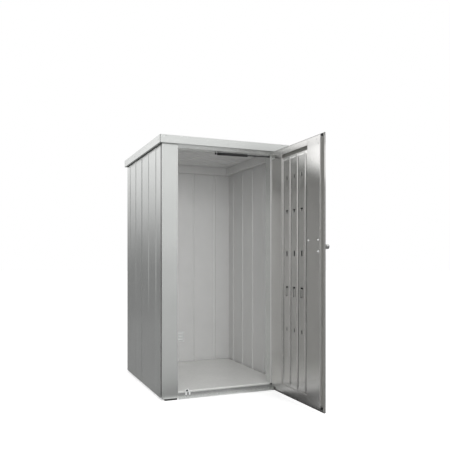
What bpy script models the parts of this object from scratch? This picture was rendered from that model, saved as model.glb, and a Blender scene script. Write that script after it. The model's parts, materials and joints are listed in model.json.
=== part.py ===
"""Patio storage cabinet: a locker of folded sheet steel with a framed roof, one swinging door, a handle
that drives two lock rods, and a gas strut. Metres, +Z up, the front faces -Y, the door stands open."""

from math import atan2, cos, hypot, pi, sin, tan

import bmesh
import bpy
from mathutils import Vector

# Overall sizes of the body
WIDTH = 0.950
DEPTH = 1.080
HEIGHT = 1.820

# Sheet metal and small clearances
SHEET = 0.0010
GAP = 0.0003
HOLE_CLEARANCE = 0.0004
OVERRUN = 0.010

# Roof
ROOF_OVERHANG = 0.0225
FASCIA_HEIGHT = 0.057
FASCIA_LOWER_LIP = 0.0125
FASCIA_UPPER_LIP = 0.0185
ROOF_DROP = 0.020
ROOF_RIB_PITCH = 0.120
ROOF_RIB_HEIGHT = 0.010
ROOF_RIB_FOOT = 0.040
ROOF_RIB_CREST = 0.024

# Feet, floor and base rails
FOOT_HEIGHT = 0.0117
FOOT_INSET = 0.021
FOOT_LENGTH = 0.089
FOOT_SETBACK = 0.0006
BASE_RAIL_DEPTH = 0.045
FLOOR_TOP = 0.0515
FLOOR_SHEET = 0.0015
FLOOR_SETBACK = 0.026
FLOOR_CLEARANCE = 0.0008

# Sill under the doorway, with the lip that carries the door's lower pivot
SILL_TOP = 0.046
SILL_DEPTH = 0.060
SILL_HEM = 0.028
LIP_REACH = 0.012
LIP_TOP = 0.0145
LIP_BOTTOM = 0.004

# Front pillars
PILLAR_WIDTH = 0.114
PILLAR_DEPTH = 0.095
PILLAR_BACK_FLANGE = 0.084
PILLAR_SIDE = 0.012
PILLAR_TUCK = 0.032
PILLAR_BEND = 0.003
BEND_STEPS = 3

# Rear corner posts
POST_FLANGE = 0.050

# Wall sheets with upright beads pressed inwards, two sheets a side that lap beside a bead
BEAD_PITCH = 0.203
BEAD_HALF_WIDTH = 0.012
BEAD_DEPTH = 0.008
BEAD_MARGIN = 0.060
SIDE_BEAD_START = 0.160
REAR_BEAD_START = 0.198
LAP_LENGTH = 0.018

# Vent low in the rear wall, beside one of the beads
VENT_FROM_BEAD = 0.064
VENT_MIDDLE = 0.274
VENT_WIDTH = 0.088
VENT_HEIGHT = 0.080
VENT_FLANGE = 0.006
VENT_SLOTS = 3
VENT_PITCH = 0.0275
VENT_SLOT_HEIGHT = 0.008
VENT_HOOD = 0.006

# Top rails
TOP_RAIL_HEIGHT = 0.064
TOP_RAIL_DEPTH = 0.045
HEADER_HEIGHT = 0.060
HEADER_DEPTH = 0.056

# Door: pivot axis and outer skin. A reach runs from the pivot to the free edge, a face towards the inside
PIVOT_INSET = 0.006
PIVOT_FORWARD = 0.0065
DOOR_OVERLAP = 0.0095
DOOR_HINGE_EDGE = 0.0035
DOOR_BOTTOM = 0.018
DOOR_HEADROOM = 0.006
SKIN_OUT = 0.006
SKIN_BACK = 0.005
SKIN_CORNER = 0.003

# Door: box frame behind the skin
BOX_START = 0.048
BOX_SETBACK = 0.024
BOX_FACE = 0.021
BOX_BOTTOM = 0.050
BOX_HEADROOM = 0.0047
HINGE_STILE_WIDTH = 0.155
LOCK_STILE_WIDTH = 0.152
STILE_STEP = 0.054
STILE_STEP_DROP = 0.005
STILE_STEP_RUN = 0.003
UPPER_RAIL_HEIGHT = 0.0315
LOWER_RAIL_HEIGHT = 0.043

# Door: liner with raised beads and rows of slots for hooks
LINER_SLOT = 0.025
LINER_RECESS = 0.0055
RIDGE_HEIGHT = 0.005
RIDGE_FOOT = 0.014
RIDGE_CREST = 0.005
RIDGE_SETBACK = 0.011
RIDGE_START = 0.0115
RIDGE_REST = 0.0329
RIDGES = 4
SLOT_FROM_MIDDLE = 0.00575
SLIT_SIZE = (0.0065, 0.024)
LONG_SIZE = (0.008, 0.062)
TALL_SIZE = (0.007, 0.033)
WIDE_SIZE = (0.014, 0.010)
SLOT_SIZES = (SLIT_SIZE, LONG_SIZE, TALL_SIZE, WIDE_SIZE, SLIT_SIZE)
SLOT_HEIGHT_SHARES = (0.2496, 0.4132, 0.5773, 0.7641, 0.9065)

# Door pivots
PIN_RADIUS = 0.0022
PIN_LENGTH = 0.026
BLOCK_HEIGHT = 0.0255
PIVOT_PLATE = 0.0025
PIVOT_PLATE_HALF = 0.014
PIVOT_PLATE_REACH = 0.011
PIVOT_LEAF_HEIGHT = 0.024
PIVOT_CLEARANCE = 0.0008

# Handle and cam
LOCK_SETBACK = 0.0575
LOCK_HEIGHT = 1.050
ESCUTCHEON_RADIUS = 0.026
ESCUTCHEON_THICKNESS = 0.006
HUB_RADIUS = 0.012
HUB_LENGTH = 0.022
GRIP_HALF_LENGTH = 0.048
GRIP_HALF_HEIGHT = 0.016
GRIP_THICKNESS = 0.022
EDGE_ROUNDING = 0.002
SPINDLE_HALF = 0.004
SPINDLE_SEAT = 0.0136
SPINDLE_END = 0.0180
CAM_RADIUS = 0.015
CAM_FACE = 0.001
CAM_THICKNESS = 0.003

# Lock case behind the stile, with its screws
CASE_INSET = 0.0065
CASE_SETBACK = 0.012
CASE_RISE = 0.060
CASE_FALL = 0.050
CASE_SIDE = 0.003
SCREW_RADIUS = 0.0045
SCREW_HEAD = 0.0022
SCREW_SHANK = 0.0022
SCREW_INSET = 0.008
SCREW_SETBACK = 0.0095
SCREW_MARGIN = 0.019

# Lock rods and their guides
ROD_RADIUS = 0.0035
ROD_FACE = 0.0145
ROD_END_GAP = 0.010
ROD_SETBACK = 0.004
GUIDE_HEIGHT = 0.016
GUIDE_LIP_BACK = 0.004
GUIDE_LIP_AHEAD = 0.032
GUIDE_LIP_BELOW = 0.017
GUIDE_LIP_ABOVE = 0.012

# Strike bushes in the sill and the header
BUSH_FLANGE_HALF = 0.018
BUSH_FLANGE_HALF_DEPTH = 0.0083
BUSH_FLANGE_THICKNESS = 0.0010
BUSH_TUBE_RADIUS = 0.0065
BUSH_TUBE_LENGTH = 0.020
BUSH_BORE_RADIUS = 0.0055
SKIRT_THICKNESS = 0.0008
SKIRT_LEG = 0.010

# Gas strut from the header to the door, and its brackets
STRUT_REACH = 0.420
STRUT_SETBACK = 0.045
STRUT_DROP = 0.0127
STRUT_FALL = 0.0155
STRUT_DOOR_REACH = 0.0585
STRUT_DOOR_FACE = 0.046
STRUT_RADIUS = 0.0090
STRUT_LENGTH = 0.222
STRUT_SHOULDER = 0.0015
STRUT_ROD_RADIUS = 0.0040
STRUT_ROD_OVERLAP = 0.045
SOCKET_RADIUS = 0.0060
SOCKET_HALF = 0.0060
SOCKET_NECK = 0.012
STUD_RADIUS = 0.0035
BRACKET_SHEET = 0.0025
BRACKET_HALF = 0.013
BRACKET_LEAF = 0.034
BRACKET_CLEARANCE = 0.0020

ROUND = 24
SMALL_ROUND = 16
SMOOTH_ANGLE = pi / 6

# Heights and places that follow from the sizes above
HALF_WIDTH = WIDTH / 2
LAP = SHEET + GAP
POST_INSET = SHEET + 2 * GAP
WALL_ZONE = BEAD_DEPTH + 2 * SHEET
BODY_BOTTOM = FOOT_HEIGHT + GAP
BASE_RAIL_TOP = FLOOR_TOP - FLOOR_SHEET - GAP
ROOF_UNDER = HEIGHT - ROOF_DROP
FRAME_TOP = ROOF_UNDER - GAP
FASCIA_BOTTOM = HEIGHT - FASCIA_HEIGHT
HEADER_BOTTOM = FRAME_TOP - HEADER_HEIGHT
TOP_RAIL_BOTTOM = FRAME_TOP - TOP_RAIL_HEIGHT
OPENING_X = HALF_WIDTH - PILLAR_WIDTH
PIVOT_X = OPENING_X - PIVOT_INSET
PIVOT_Y = -PIVOT_FORWARD
DOOR_REACH = PIVOT_X + OPENING_X + DOOR_OVERLAP
DOOR_TOP = FASCIA_BOTTOM - DOOR_HEADROOM
SKIN_IN = SKIN_OUT - SHEET
BOX_TOP = HEADER_BOTTOM - BOX_HEADROOM
BOX_REAR = GAP - SKIN_IN
BOX_END = DOOR_REACH - BOX_SETBACK
LOCK_STILE_START = BOX_END - LOCK_STILE_WIDTH
LOCK_REACH = BOX_END - LOCK_SETBACK
LINER_START = BOX_START + HINGE_STILE_WIDTH + GAP
LINER_END = LOCK_STILE_START - GAP
LINER_BOTTOM = BOX_BOTTOM + LOWER_RAIL_HEIGHT + GAP
LINER_TOP = BOX_TOP - UPPER_RAIL_HEIGHT - LINER_SLOT
LINER_FACE = BOX_FACE - LINER_RECESS
RIDGE_PITCH = (LINER_END - LINER_START - RIDGE_START - RIDGE_REST) / (RIDGES - 1)
ESCUTCHEON_FRONT = -SKIN_OUT - GAP - ESCUTCHEON_THICKNESS
HUB_BACK = ESCUTCHEON_FRONT - GAP
HUB_FRONT = HUB_BACK - HUB_LENGTH
CASE_START = LOCK_STILE_START + CASE_INSET
CASE_END = BOX_END - CASE_SETBACK
CASE_TOP = LOCK_HEIGHT + CASE_RISE
CASE_BOTTOM = LOCK_HEIGHT - CASE_FALL
CASE_FACE = BOX_FACE - SHEET - GAP
STRIKE_X = PIVOT_X - LOCK_REACH
STRIKE_Y = PIVOT_Y + ROD_FACE
STRUT_X = PIVOT_X - STRUT_REACH
STRUT_Z = HEADER_BOTTOM - STRUT_DROP
STRUT_RUN_OPEN = Vector((PIVOT_X - STRUT_DOOR_FACE - STRUT_X, PIVOT_Y - STRUT_DOOR_REACH - STRUT_SETBACK))
STRUT_RUN_SHUT = Vector((PIVOT_X - STRUT_DOOR_REACH - STRUT_X, PIVOT_Y + STRUT_DOOR_FACE - STRUT_SETBACK))
STRUT_OPEN = hypot(STRUT_RUN_OPEN.length, STRUT_FALL)
STRUT_TRAVEL = STRUT_OPEN * (1 - STRUT_RUN_SHUT.length / STRUT_RUN_OPEN.length)
STRUT_END = SOCKET_NECK + STRUT_LENGTH
SHIFT_Y = (DOOR_REACH + PIVOT_FORWARD - DEPTH - ROOF_OVERHANG) / 2

# Base colour, roughness and metallic value of each finish
FINISHES = {
    "silver_paint": ((0.62, 0.63, 0.62), 0.35, 0.8),
    "roof_paint": ((0.70, 0.71, 0.70), 0.35, 0.8),
    "galvanised": ((0.66, 0.67, 0.66), 0.30, 0.9),
    "bright_zinc": ((0.75, 0.75, 0.74), 0.22, 1.0),
    "chrome": ((0.55, 0.56, 0.56), 0.25, 0.9),
    "black_paint": ((0.02, 0.02, 0.02), 0.30, 0.0),
    "black_rubber": ((0.03, 0.03, 0.03), 0.70, 0.0),
    "black_nylon": ((0.02, 0.02, 0.02), 0.55, 0.0),
}


def clear_scene():
    """Remove what the new file came with."""
    for thing in list(bpy.data.objects):
        bpy.data.objects.remove(thing, do_unlink=True)


def make_material(name, finish):
    """One Principled material with plain values."""
    colour, roughness, metallic = FINISHES[finish]
    material = bpy.data.materials.new(name)
    material.use_nodes = True
    shader = material.node_tree.nodes["Principled BSDF"]
    shader.inputs["Base Color"].default_value = (*colour, 1)
    shader.inputs["Roughness"].default_value = roughness
    shader.inputs["Metallic"].default_value = metallic
    return material


def add_object(name, solid, carrier):
    """Turn a bmesh into an object under its carrier."""
    bmesh.ops.recalc_face_normals(solid, faces=solid.faces)
    mesh = bpy.data.meshes.new(name)
    solid.to_mesh(mesh)
    solid.free()
    thing = bpy.data.objects.new(name, mesh)
    bpy.context.scene.collection.objects.link(thing)
    thing.parent = carrier
    return thing


def add_piece(name, solid, finish, carrier, smooth=False):
    """A named piece with its own material."""
    piece = add_object(name, solid, carrier)
    piece.data.materials.append(make_material(name + "_" + finish, finish))
    if smooth:
        piece.data.shade_smooth()
        piece.data.set_sharp_from_angle(angle=SMOOTH_ANGLE)
    return piece


def add_carrier(name, place, turn, parent, dip=0):
    """An empty that carries pieces and holds a joint's place. A dip lowers its +X end."""
    carrier = bpy.data.objects.new(name, None)
    bpy.context.scene.collection.objects.link(carrier)
    carrier.location = place
    carrier.rotation_euler = (0, dip, turn)
    carrier.parent = parent
    return carrier


def combine(piece, operation, tool_solid):
    """Cut a tool from a piece, or join it on, with a live modifier."""
    tool = add_object(piece.name + "_" + operation.lower() + "_tool", tool_solid, piece.parent)
    tool.hide_render = True
    tool.display_type = "WIRE"
    modifier = piece.modifiers.new(operation.lower(), "BOOLEAN")
    modifier.operation = operation
    modifier.solver = "EXACT"
    modifier.object = tool


def place_point(axis, along, first, second):
    """A point from its place along the axis and its two outline coordinates."""
    if axis == "X":
        return (along, first, second)
    if axis == "Y":
        return (first, along, second)
    return (first, second, along)


def add_rings(solid, axis, rings):
    """Bridge closed outlines, each with its place along the axis, and cap both ends."""
    loops = []
    for along, outline in rings:
        loops.append([solid.verts.new(place_point(axis, along, *point)) for point in outline])
    for near, far in zip(loops, loops[1:]):
        for index in range(len(near)):
            after = (index + 1) % len(near)
            solid.faces.new((near[index], near[after], far[after], far[index]))
    solid.faces.new(loops[0])
    solid.faces.new(loops[-1])


def extruded(outline, axis, low, high):
    """A solid from one outline, extruded between two places."""
    solid = bmesh.new()
    add_rings(solid, axis, [(low, outline), (high, outline)])
    return solid


def turned(profile, axis, steps):
    """A solid of revolution from (place, radius) points."""
    solid = bmesh.new()
    add_rings(solid, axis, [(along, circle(0, 0, radius, steps)) for along, radius in profile])
    return solid


def block(x_low, x_high, y_low, y_high, z_low, z_high):
    """A plain block."""
    return extruded(rectangle(x_low, x_high, y_low, y_high), "Z", z_low, z_high)


def rectangle(first_low, first_high, second_low, second_high):
    """Corners of a rectangle."""
    return [(first_low, second_low), (first_high, second_low), (first_high, second_high),
            (first_low, second_high)]


def circle(first, second, radius, steps):
    """Points round a circle."""
    turns = [2 * pi * step / steps for step in range(steps)]
    return [(first + radius * cos(turn), second + radius * sin(turn)) for turn in turns]


def stadium(first, second, half_length, half_width, steps):
    """A long shape with round ends, lying along the first coordinate."""
    points = []
    for side, start in ((1, -pi / 2), (-1, pi / 2)):
        for step in range(steps + 1):
            turn = start + pi * step / steps
            points.append((first + side * (half_length - half_width) + half_width * cos(turn),
                           second + half_width * sin(turn)))
    return points


def corner_arc(before, corner, after, radius):
    """Points of the arc that rounds one corner of a path."""
    back = (Vector(before) - Vector(corner)).normalized()
    ahead = (Vector(after) - Vector(corner)).normalized()
    half = back.angle(ahead) / 2
    centre = Vector(corner) + (back + ahead).normalized() * radius / sin(half)
    start = Vector(corner) + back * radius / tan(half) - centre
    end = Vector(corner) + ahead * radius / tan(half) - centre
    sweep = atan2(start.x * end.y - start.y * end.x, start.dot(end))
    points = []
    for step in range(BEND_STEPS + 1):
        turn = sweep * step / BEND_STEPS
        points.append((centre.x + start.x * cos(turn) - start.y * sin(turn),
                       centre.y + start.x * sin(turn) + start.y * cos(turn)))
    return points


def soften(path, radii):
    """A path with some corners rounded, given as corner number and radius."""
    points = []
    for index, corner in enumerate(path):
        if index in radii:
            points += corner_arc(path[index - 1], corner, path[index + 1], radii[index])
        else:
            points.append(corner)
    return points


def folded(path):
    """The closed outline of a folded sheet whose outer face is the path. The sheet lies on the left."""
    inner = []
    for index, point in enumerate(path):
        normals = []
        for start, end in ((index - 1, index), (index, index + 1)):
            if start >= 0 and end < len(path):
                run_x = path[end][0] - path[start][0]
                run_y = path[end][1] - path[start][1]
                length = hypot(run_x, run_y)
                normals.append(Vector((-run_y / length, run_x / length)))
        mean = sum(normals, Vector((0, 0))).normalized()
        shift = mean * SHEET / mean.dot(normals[0])
        inner.append((point[0] + shift.x, point[1] + shift.y))
    return list(path) + inner[::-1]


def mirrored(outline, side):
    """An outline drawn for the left side, side -1, or its mirror image for the right, side 1."""
    return [(-side * point[0], point[1]) for point in outline]


SIDES = (("left", -1), ("right", 1))


def make_feet(body):
    """Thin pads under the four corners."""
    for end, low in (("front", FOOT_SETBACK), ("rear", DEPTH - FOOT_SETBACK - FOOT_LENGTH)):
        for side_name, side in SIDES:
            edges = sorted((side * (HALF_WIDTH - FOOT_INSET), side * (HALF_WIDTH - FOOT_INSET - FOOT_LENGTH)))
            pad = block(*edges, low, low + FOOT_LENGTH, 0, FOOT_HEIGHT)
            add_piece("foot_" + end + "_" + side_name, pad, "black_rubber", body)


def make_sill(body):
    """Front base rail between the pillars, with its low lip and the hole for the lower lock rod."""
    path = [
        (SILL_DEPTH, SILL_TOP - SILL_HEM),
        (SILL_DEPTH, SILL_TOP),
        (0, SILL_TOP),
        (0, LIP_TOP),
        (-LIP_REACH, LIP_TOP),
        (-LIP_REACH, LIP_BOTTOM),
    ]
    reach = OPENING_X - GAP
    sill = add_piece("base_rail_front", extruded(folded(path), "X", -reach, reach), "silver_paint", body)
    hole = circle(STRIKE_X, STRIKE_Y, BUSH_TUBE_RADIUS + GAP, ROUND)
    combine(sill, "DIFFERENCE", extruded(hole, "Z", SILL_TOP - OVERRUN, SILL_TOP + OVERRUN))


def make_base_rails(body):
    """Side and rear channels under the floor's edge, open towards the middle."""
    path = [(BASE_RAIL_DEPTH, BASE_RAIL_TOP), (WALL_ZONE, BASE_RAIL_TOP), (WALL_ZONE, BODY_BOTTOM),
            (BASE_RAIL_DEPTH, BODY_BOTTOM)]
    profile = folded(path)
    for side_name, side in SIDES:
        outline = [(side * (HALF_WIDTH - depth), height) for depth, height in profile]
        rail = extruded(outline, "Y", PILLAR_DEPTH + GAP, DEPTH - WALL_ZONE)
        add_piece("base_rail_" + side_name, rail, "galvanised", body)
    outline = [(DEPTH - depth, height) for depth, height in profile]
    reach = HALF_WIDTH - BASE_RAIL_DEPTH - GAP
    add_piece("base_rail_rear", extruded(outline, "X", -reach, reach), "galvanised", body)


def make_floor(body):
    """Floor sheet, notched round the pillars, with its front edge folded down onto the sill."""
    reach = HALF_WIDTH - WALL_ZONE
    throat = OPENING_X - FLOOR_CLEARANCE
    notch = PILLAR_DEPTH + FLOOR_CLEARANCE
    rear = DEPTH - WALL_ZONE
    outline = [(-throat, FLOOR_SETBACK), (throat, FLOOR_SETBACK), (throat, notch), (reach, notch),
               (reach, rear), (-reach, rear), (-reach, notch), (-throat, notch)]
    sheet = extruded(outline, "Z", FLOOR_TOP - FLOOR_SHEET, FLOOR_TOP)
    floor = add_piece("floor_plate", sheet, "galvanised", body)
    fold = block(-throat, throat, FLOOR_SETBACK, FLOOR_SETBACK + FLOOR_SHEET, SILL_TOP + GAP,
                 FLOOR_TOP - FLOOR_SHEET / 2)
    combine(floor, "UNION", fold)


def make_pillars(body):
    """Folded front pillars with rounded edges. The side wall laps over the flange tucked behind it."""
    path = [
        (-HALF_WIDTH + POST_INSET, PILLAR_SIDE + PILLAR_TUCK),
        (-HALF_WIDTH + POST_INSET, PILLAR_SIDE + POST_INSET),
        (-HALF_WIDTH, PILLAR_SIDE),
        (-HALF_WIDTH, 0),
        (-OPENING_X, 0),
        (-OPENING_X, PILLAR_DEPTH),
        (-OPENING_X - PILLAR_BACK_FLANGE, PILLAR_DEPTH),
    ]
    outline = folded(soften(path, {3: PILLAR_BEND, 4: PILLAR_BEND, 5: PILLAR_BEND}))
    for side_name, side in SIDES:
        pillar = extruded(mirrored(outline, side), "Z", BODY_BOTTOM, FRAME_TOP)
        add_piece("pillar_front_" + side_name, pillar, "silver_paint", body)


def make_corner_posts(body):
    """Angle posts inside the rear corners."""
    edge = HALF_WIDTH - POST_INSET
    rear = DEPTH - POST_INSET
    outline = folded([(-edge + POST_FLANGE, rear), (-edge, rear), (-edge, rear - POST_FLANGE)])
    for side_name, side in SIDES:
        post = extruded(mirrored(outline, side), "Z", BODY_BOTTOM, FRAME_TOP)
        add_piece("corner_post_rear_" + side_name, post, "galvanised", body)


def bead_places(start, end):
    """Centres of the beads between two ends of a wall."""
    count = int((end - start - BEAD_MARGIN) / BEAD_PITCH) + 1
    return [start + BEAD_PITCH * index for index in range(count)]


def beaded(beads):
    """The points of some beads, as (place along the wall, depth)."""
    points = []
    for bead in beads:
        points += [(bead - BEAD_HALF_WIDTH, 0), (bead, BEAD_DEPTH), (bead + BEAD_HALF_WIDTH, 0)]
    return points


def wall_runs(start, end, beads):
    """Two runs of wall. The first ends under the second, just past the bead in the middle."""
    middle = len(beads) // 2
    seam = beads[middle] + BEAD_HALF_WIDTH
    first = [(start, 0)] + beaded(beads[:middle + 1])[:-1] + [(seam, LAP), (seam + LAP_LENGTH, LAP)]
    second = [(seam, 0)] + beaded(beads[middle + 1:]) + [(end, 0)]
    return first, second


def make_side_walls(body):
    """Two beaded sheets a side."""
    beads = bead_places(SIDE_BEAD_START, DEPTH)
    start = PILLAR_SIDE + POST_INSET + GAP
    for end_name, run in zip(("front", "rear"), wall_runs(start, DEPTH, beads)):
        outline = folded([(-HALF_WIDTH + depth, along) for along, depth in run[::-1]])
        for side_name, side in SIDES:
            wall = extruded(mirrored(outline, side), "Z", BODY_BOTTOM, FRAME_TOP)
            add_piece("wall_" + side_name + "_" + end_name, wall, "silver_paint", body)


def make_rear_walls(body):
    """Two beaded rear sheets between the side sheets, one of them with the vent."""
    beads = bead_places(-HALF_WIDTH + REAR_BEAD_START, HALF_WIDTH)
    edge = HALF_WIDTH - SHEET - GAP
    panels = []
    for side_name, run in zip(("left", "right"), wall_runs(-edge, edge, beads)):
        outline = folded([(along, DEPTH - depth) for along, depth in run[::-1]])
        wall = extruded(outline, "Z", BODY_BOTTOM, FRAME_TOP)
        panels.append(add_piece("wall_rear_" + side_name, wall, "silver_paint", body))
    centre = beads[len(beads) // 2 - 1] + VENT_FROM_BEAD
    hole = block(centre - VENT_WIDTH / 2, centre + VENT_WIDTH / 2, DEPTH - OVERRUN, DEPTH + OVERRUN,
                 VENT_MIDDLE - VENT_HEIGHT / 2, VENT_MIDDLE + VENT_HEIGHT / 2)
    combine(panels[0], "DIFFERENCE", hole)
    make_vent(body, centre)


def make_vent(body, centre):
    """Louvred plate over the hole in the rear wall, with a hood over each slot."""
    outer = DEPTH - SHEET - GAP
    half_width = VENT_WIDTH / 2 + VENT_FLANGE
    half_height = VENT_HEIGHT / 2 + VENT_FLANGE
    plate = block(centre - half_width, centre + half_width, outer - SHEET, outer,
                  VENT_MIDDLE - half_height, VENT_MIDDLE + half_height)
    vent = add_piece("vent_louvre", plate, "silver_paint", body)
    slots = bmesh.new()
    hoods = bmesh.new()
    reach = VENT_WIDTH / 2 - VENT_FLANGE
    for index in range(VENT_SLOTS):
        low = VENT_MIDDLE + (index - (VENT_SLOTS - 1) / 2) * VENT_PITCH - VENT_SLOT_HEIGHT / 2
        top = low + VENT_SLOT_HEIGHT
        slot = rectangle(outer - OVERRUN, outer + OVERRUN, low, top)
        add_rings(slots, "X", [(centre - reach, slot), (centre + reach, slot)])
        root = outer - SHEET / 2
        hood = folded([(root - VENT_HOOD, low), (root - VENT_HOOD, top), (root, top + VENT_HOOD)])
        add_rings(hoods, "X", [(centre - reach, hood), (centre + reach, hood)])
    combine(vent, "DIFFERENCE", slots)
    combine(vent, "UNION", hoods)


def make_top_rails(body):
    """Side and rear channels under the roof, with their plain face to the inside."""
    path = [(WALL_ZONE, TOP_RAIL_BOTTOM), (TOP_RAIL_DEPTH, TOP_RAIL_BOTTOM), (TOP_RAIL_DEPTH, FRAME_TOP),
            (WALL_ZONE, FRAME_TOP)]
    profile = folded(path)
    for side_name, side in SIDES:
        outline = [(side * (HALF_WIDTH - depth), height) for depth, height in profile]
        rail = extruded(outline, "Y", PILLAR_DEPTH + GAP, DEPTH - WALL_ZONE)
        add_piece("top_rail_" + side_name, rail, "silver_paint", body)
    outline = [(DEPTH - depth, height) for depth, height in profile]
    reach = HALF_WIDTH - TOP_RAIL_DEPTH - GAP
    add_piece("top_rail_rear", extruded(outline, "X", -reach, reach), "silver_paint", body)


def make_header(body):
    """Front top rail over the doorway, an open channel with the hole for the upper lock rod."""
    path = [(0, FRAME_TOP), (0, HEADER_BOTTOM), (HEADER_DEPTH, HEADER_BOTTOM), (HEADER_DEPTH, FRAME_TOP)]
    reach = OPENING_X - GAP
    header = add_piece("top_rail_front", extruded(folded(path), "X", -reach, reach), "silver_paint", body)
    hole = circle(STRIKE_X, STRIKE_Y, BUSH_TUBE_RADIUS + GAP, ROUND)
    combine(header, "DIFFERENCE", extruded(hole, "Z", HEADER_BOTTOM - OVERRUN, HEADER_BOTTOM + OVERRUN))


def make_roof_sheet(body):
    """Ribbed roof sheet that lies on the frame inside the fascia. Its ribs run from side to side."""
    start = SHEET + GAP - ROOF_OVERHANG
    end = DEPTH - start
    count = int((end - start) / ROOF_RIB_PITCH)
    margin = (end - start - (count - 1) * ROOF_RIB_PITCH) / 2
    path = [(start, ROOF_UNDER)]
    for index in range(count):
        centre = start + margin + index * ROOF_RIB_PITCH
        path += [(centre - ROOF_RIB_FOOT / 2, ROOF_UNDER),
                 (centre - ROOF_RIB_CREST / 2, ROOF_UNDER + ROOF_RIB_HEIGHT),
                 (centre + ROOF_RIB_CREST / 2, ROOF_UNDER + ROOF_RIB_HEIGHT),
                 (centre + ROOF_RIB_FOOT / 2, ROOF_UNDER)]
    path.append((end, ROOF_UNDER))
    reach = HALF_WIDTH - start
    add_piece("roof_sheet", extruded(folded(path), "X", -reach, reach), "galvanised", body)


def fascia(half_length):
    """One side of the roof frame with mitred ends, lying along X with its outer face at zero."""
    path = [(FASCIA_UPPER_LIP, HEIGHT), (0, HEIGHT), (0, FASCIA_BOTTOM), (FASCIA_LOWER_LIP, FASCIA_BOTTOM)]
    side = extruded(folded(path), "X", -half_length, half_length)
    for corner in side.verts:
        inward = corner.co.y + GAP
        corner.co.x += -inward if corner.co.x > 0 else inward
    return side


def make_fascias(body):
    """Four mitred channels round the edge of the roof."""
    front = fascia(HALF_WIDTH + ROOF_OVERHANG)
    rear = fascia(HALF_WIDTH + ROOF_OVERHANG)
    for corner in front.verts:
        corner.co.y -= ROOF_OVERHANG
    for corner in rear.verts:
        corner.co.y = DEPTH + ROOF_OVERHANG - corner.co.y
    add_piece("roof_fascia_front", front, "roof_paint", body)
    add_piece("roof_fascia_rear", rear, "roof_paint", body)
    for side_name, side in SIDES:
        run = fascia(DEPTH / 2 + ROOF_OVERHANG)
        for corner in run.verts:
            along, inward = corner.co.x, corner.co.y
            corner.co.x = side * (HALF_WIDTH + ROOF_OVERHANG - inward)
            corner.co.y = DEPTH / 2 + along
        add_piece("roof_fascia_" + side_name, run, "roof_paint", body)


def pin(low, high):
    """A door pin on the pivot axis, in the body's frame."""
    return extruded(circle(PIVOT_X, PIVOT_Y, PIN_RADIUS, SMALL_ROUND), "Z", low, high)


def make_frame_pivots(body):
    """Brackets with the pins that the door hangs on, one over the door and one on the sill's lip."""
    plate_ends = (PIVOT_X - PIVOT_PLATE_HALF, OPENING_X - GAP)
    seat = DOOR_TOP + PIVOT_CLEARANCE
    plate = block(*plate_ends, -PIVOT_PLATE_REACH, -GAP, seat, seat + PIVOT_PLATE)
    top = add_piece("pivot_bracket_top", plate, "bright_zinc", body, smooth=True)
    combine(top, "UNION", block(*plate_ends, -GAP - PIVOT_PLATE, -GAP, seat, seat + PIVOT_LEAF_HEIGHT))
    combine(top, "UNION", pin(seat - PIN_LENGTH, seat + PIVOT_PLATE / 2))
    seat = LIP_TOP + GAP
    plate = block(*plate_ends, -PIVOT_PLATE_REACH, -GAP, seat, seat + PIVOT_PLATE)
    bottom = add_piece("pivot_bracket_bottom", plate, "bright_zinc", body, smooth=True)
    combine(bottom, "UNION", pin(seat + PIVOT_PLATE / 2, seat + PIVOT_PLATE + PIN_LENGTH))


def make_strike_bush(body, name, seat, way, skirt):
    """Bush that takes a lock rod. Its flange lies on the rail, way is up or down from it."""
    near, far = seat + way * BUSH_FLANGE_THICKNESS, seat - way * BUSH_TUBE_LENGTH
    flange = stadium(STRIKE_X, STRIKE_Y, BUSH_FLANGE_HALF, BUSH_FLANGE_HALF_DEPTH, SMALL_ROUND // 2)
    bush = add_piece(name, extruded(flange, "Z", seat, near), "bright_zinc", body, smooth=True)
    middle = (seat + near) / 2
    tube = circle(STRIKE_X, STRIKE_Y, BUSH_TUBE_RADIUS, ROUND)
    combine(bush, "UNION", extruded(tube, "Z", middle, far))
    if skirt:
        legs = bmesh.new()
        for low in (STRIKE_X - BUSH_FLANGE_HALF, STRIKE_X + BUSH_FLANGE_HALF - SKIRT_LEG):
            leg = [(-GAP, LIP_TOP + GAP), (-GAP - SKIRT_THICKNESS, LIP_TOP + GAP), (-GAP - SKIRT_THICKNESS, near),
                   (STRIKE_Y, near), (STRIKE_Y, seat), (-GAP, seat)]
            add_rings(legs, "X", [(low, leg), (low + SKIRT_LEG, leg)])
        combine(bush, "UNION", legs)
    bore = circle(STRIKE_X, STRIKE_Y, BUSH_BORE_RADIUS, ROUND)
    combine(bush, "DIFFERENCE", extruded(bore, "Z", far - way * OVERRUN, near + way * OVERRUN))


def make_strut_header_bracket(body):
    """Plate under the header with the stud that the strut turns on."""
    high = HEADER_BOTTOM - GAP
    plate = block(STRUT_X - BRACKET_HALF, STRUT_X + BRACKET_HALF, STRUT_SETBACK - BRACKET_HALF,
                  HEADER_DEPTH, high - BRACKET_SHEET, high)
    bracket = add_piece("strut_bracket_header", plate, "bright_zinc", body, smooth=True)
    stud = circle(STRUT_X, STRUT_SETBACK, STUD_RADIUS, SMALL_ROUND)
    combine(bracket, "UNION", extruded(stud, "Z", STRUT_Z - SOCKET_HALF, high - BRACKET_SHEET / 2))


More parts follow.
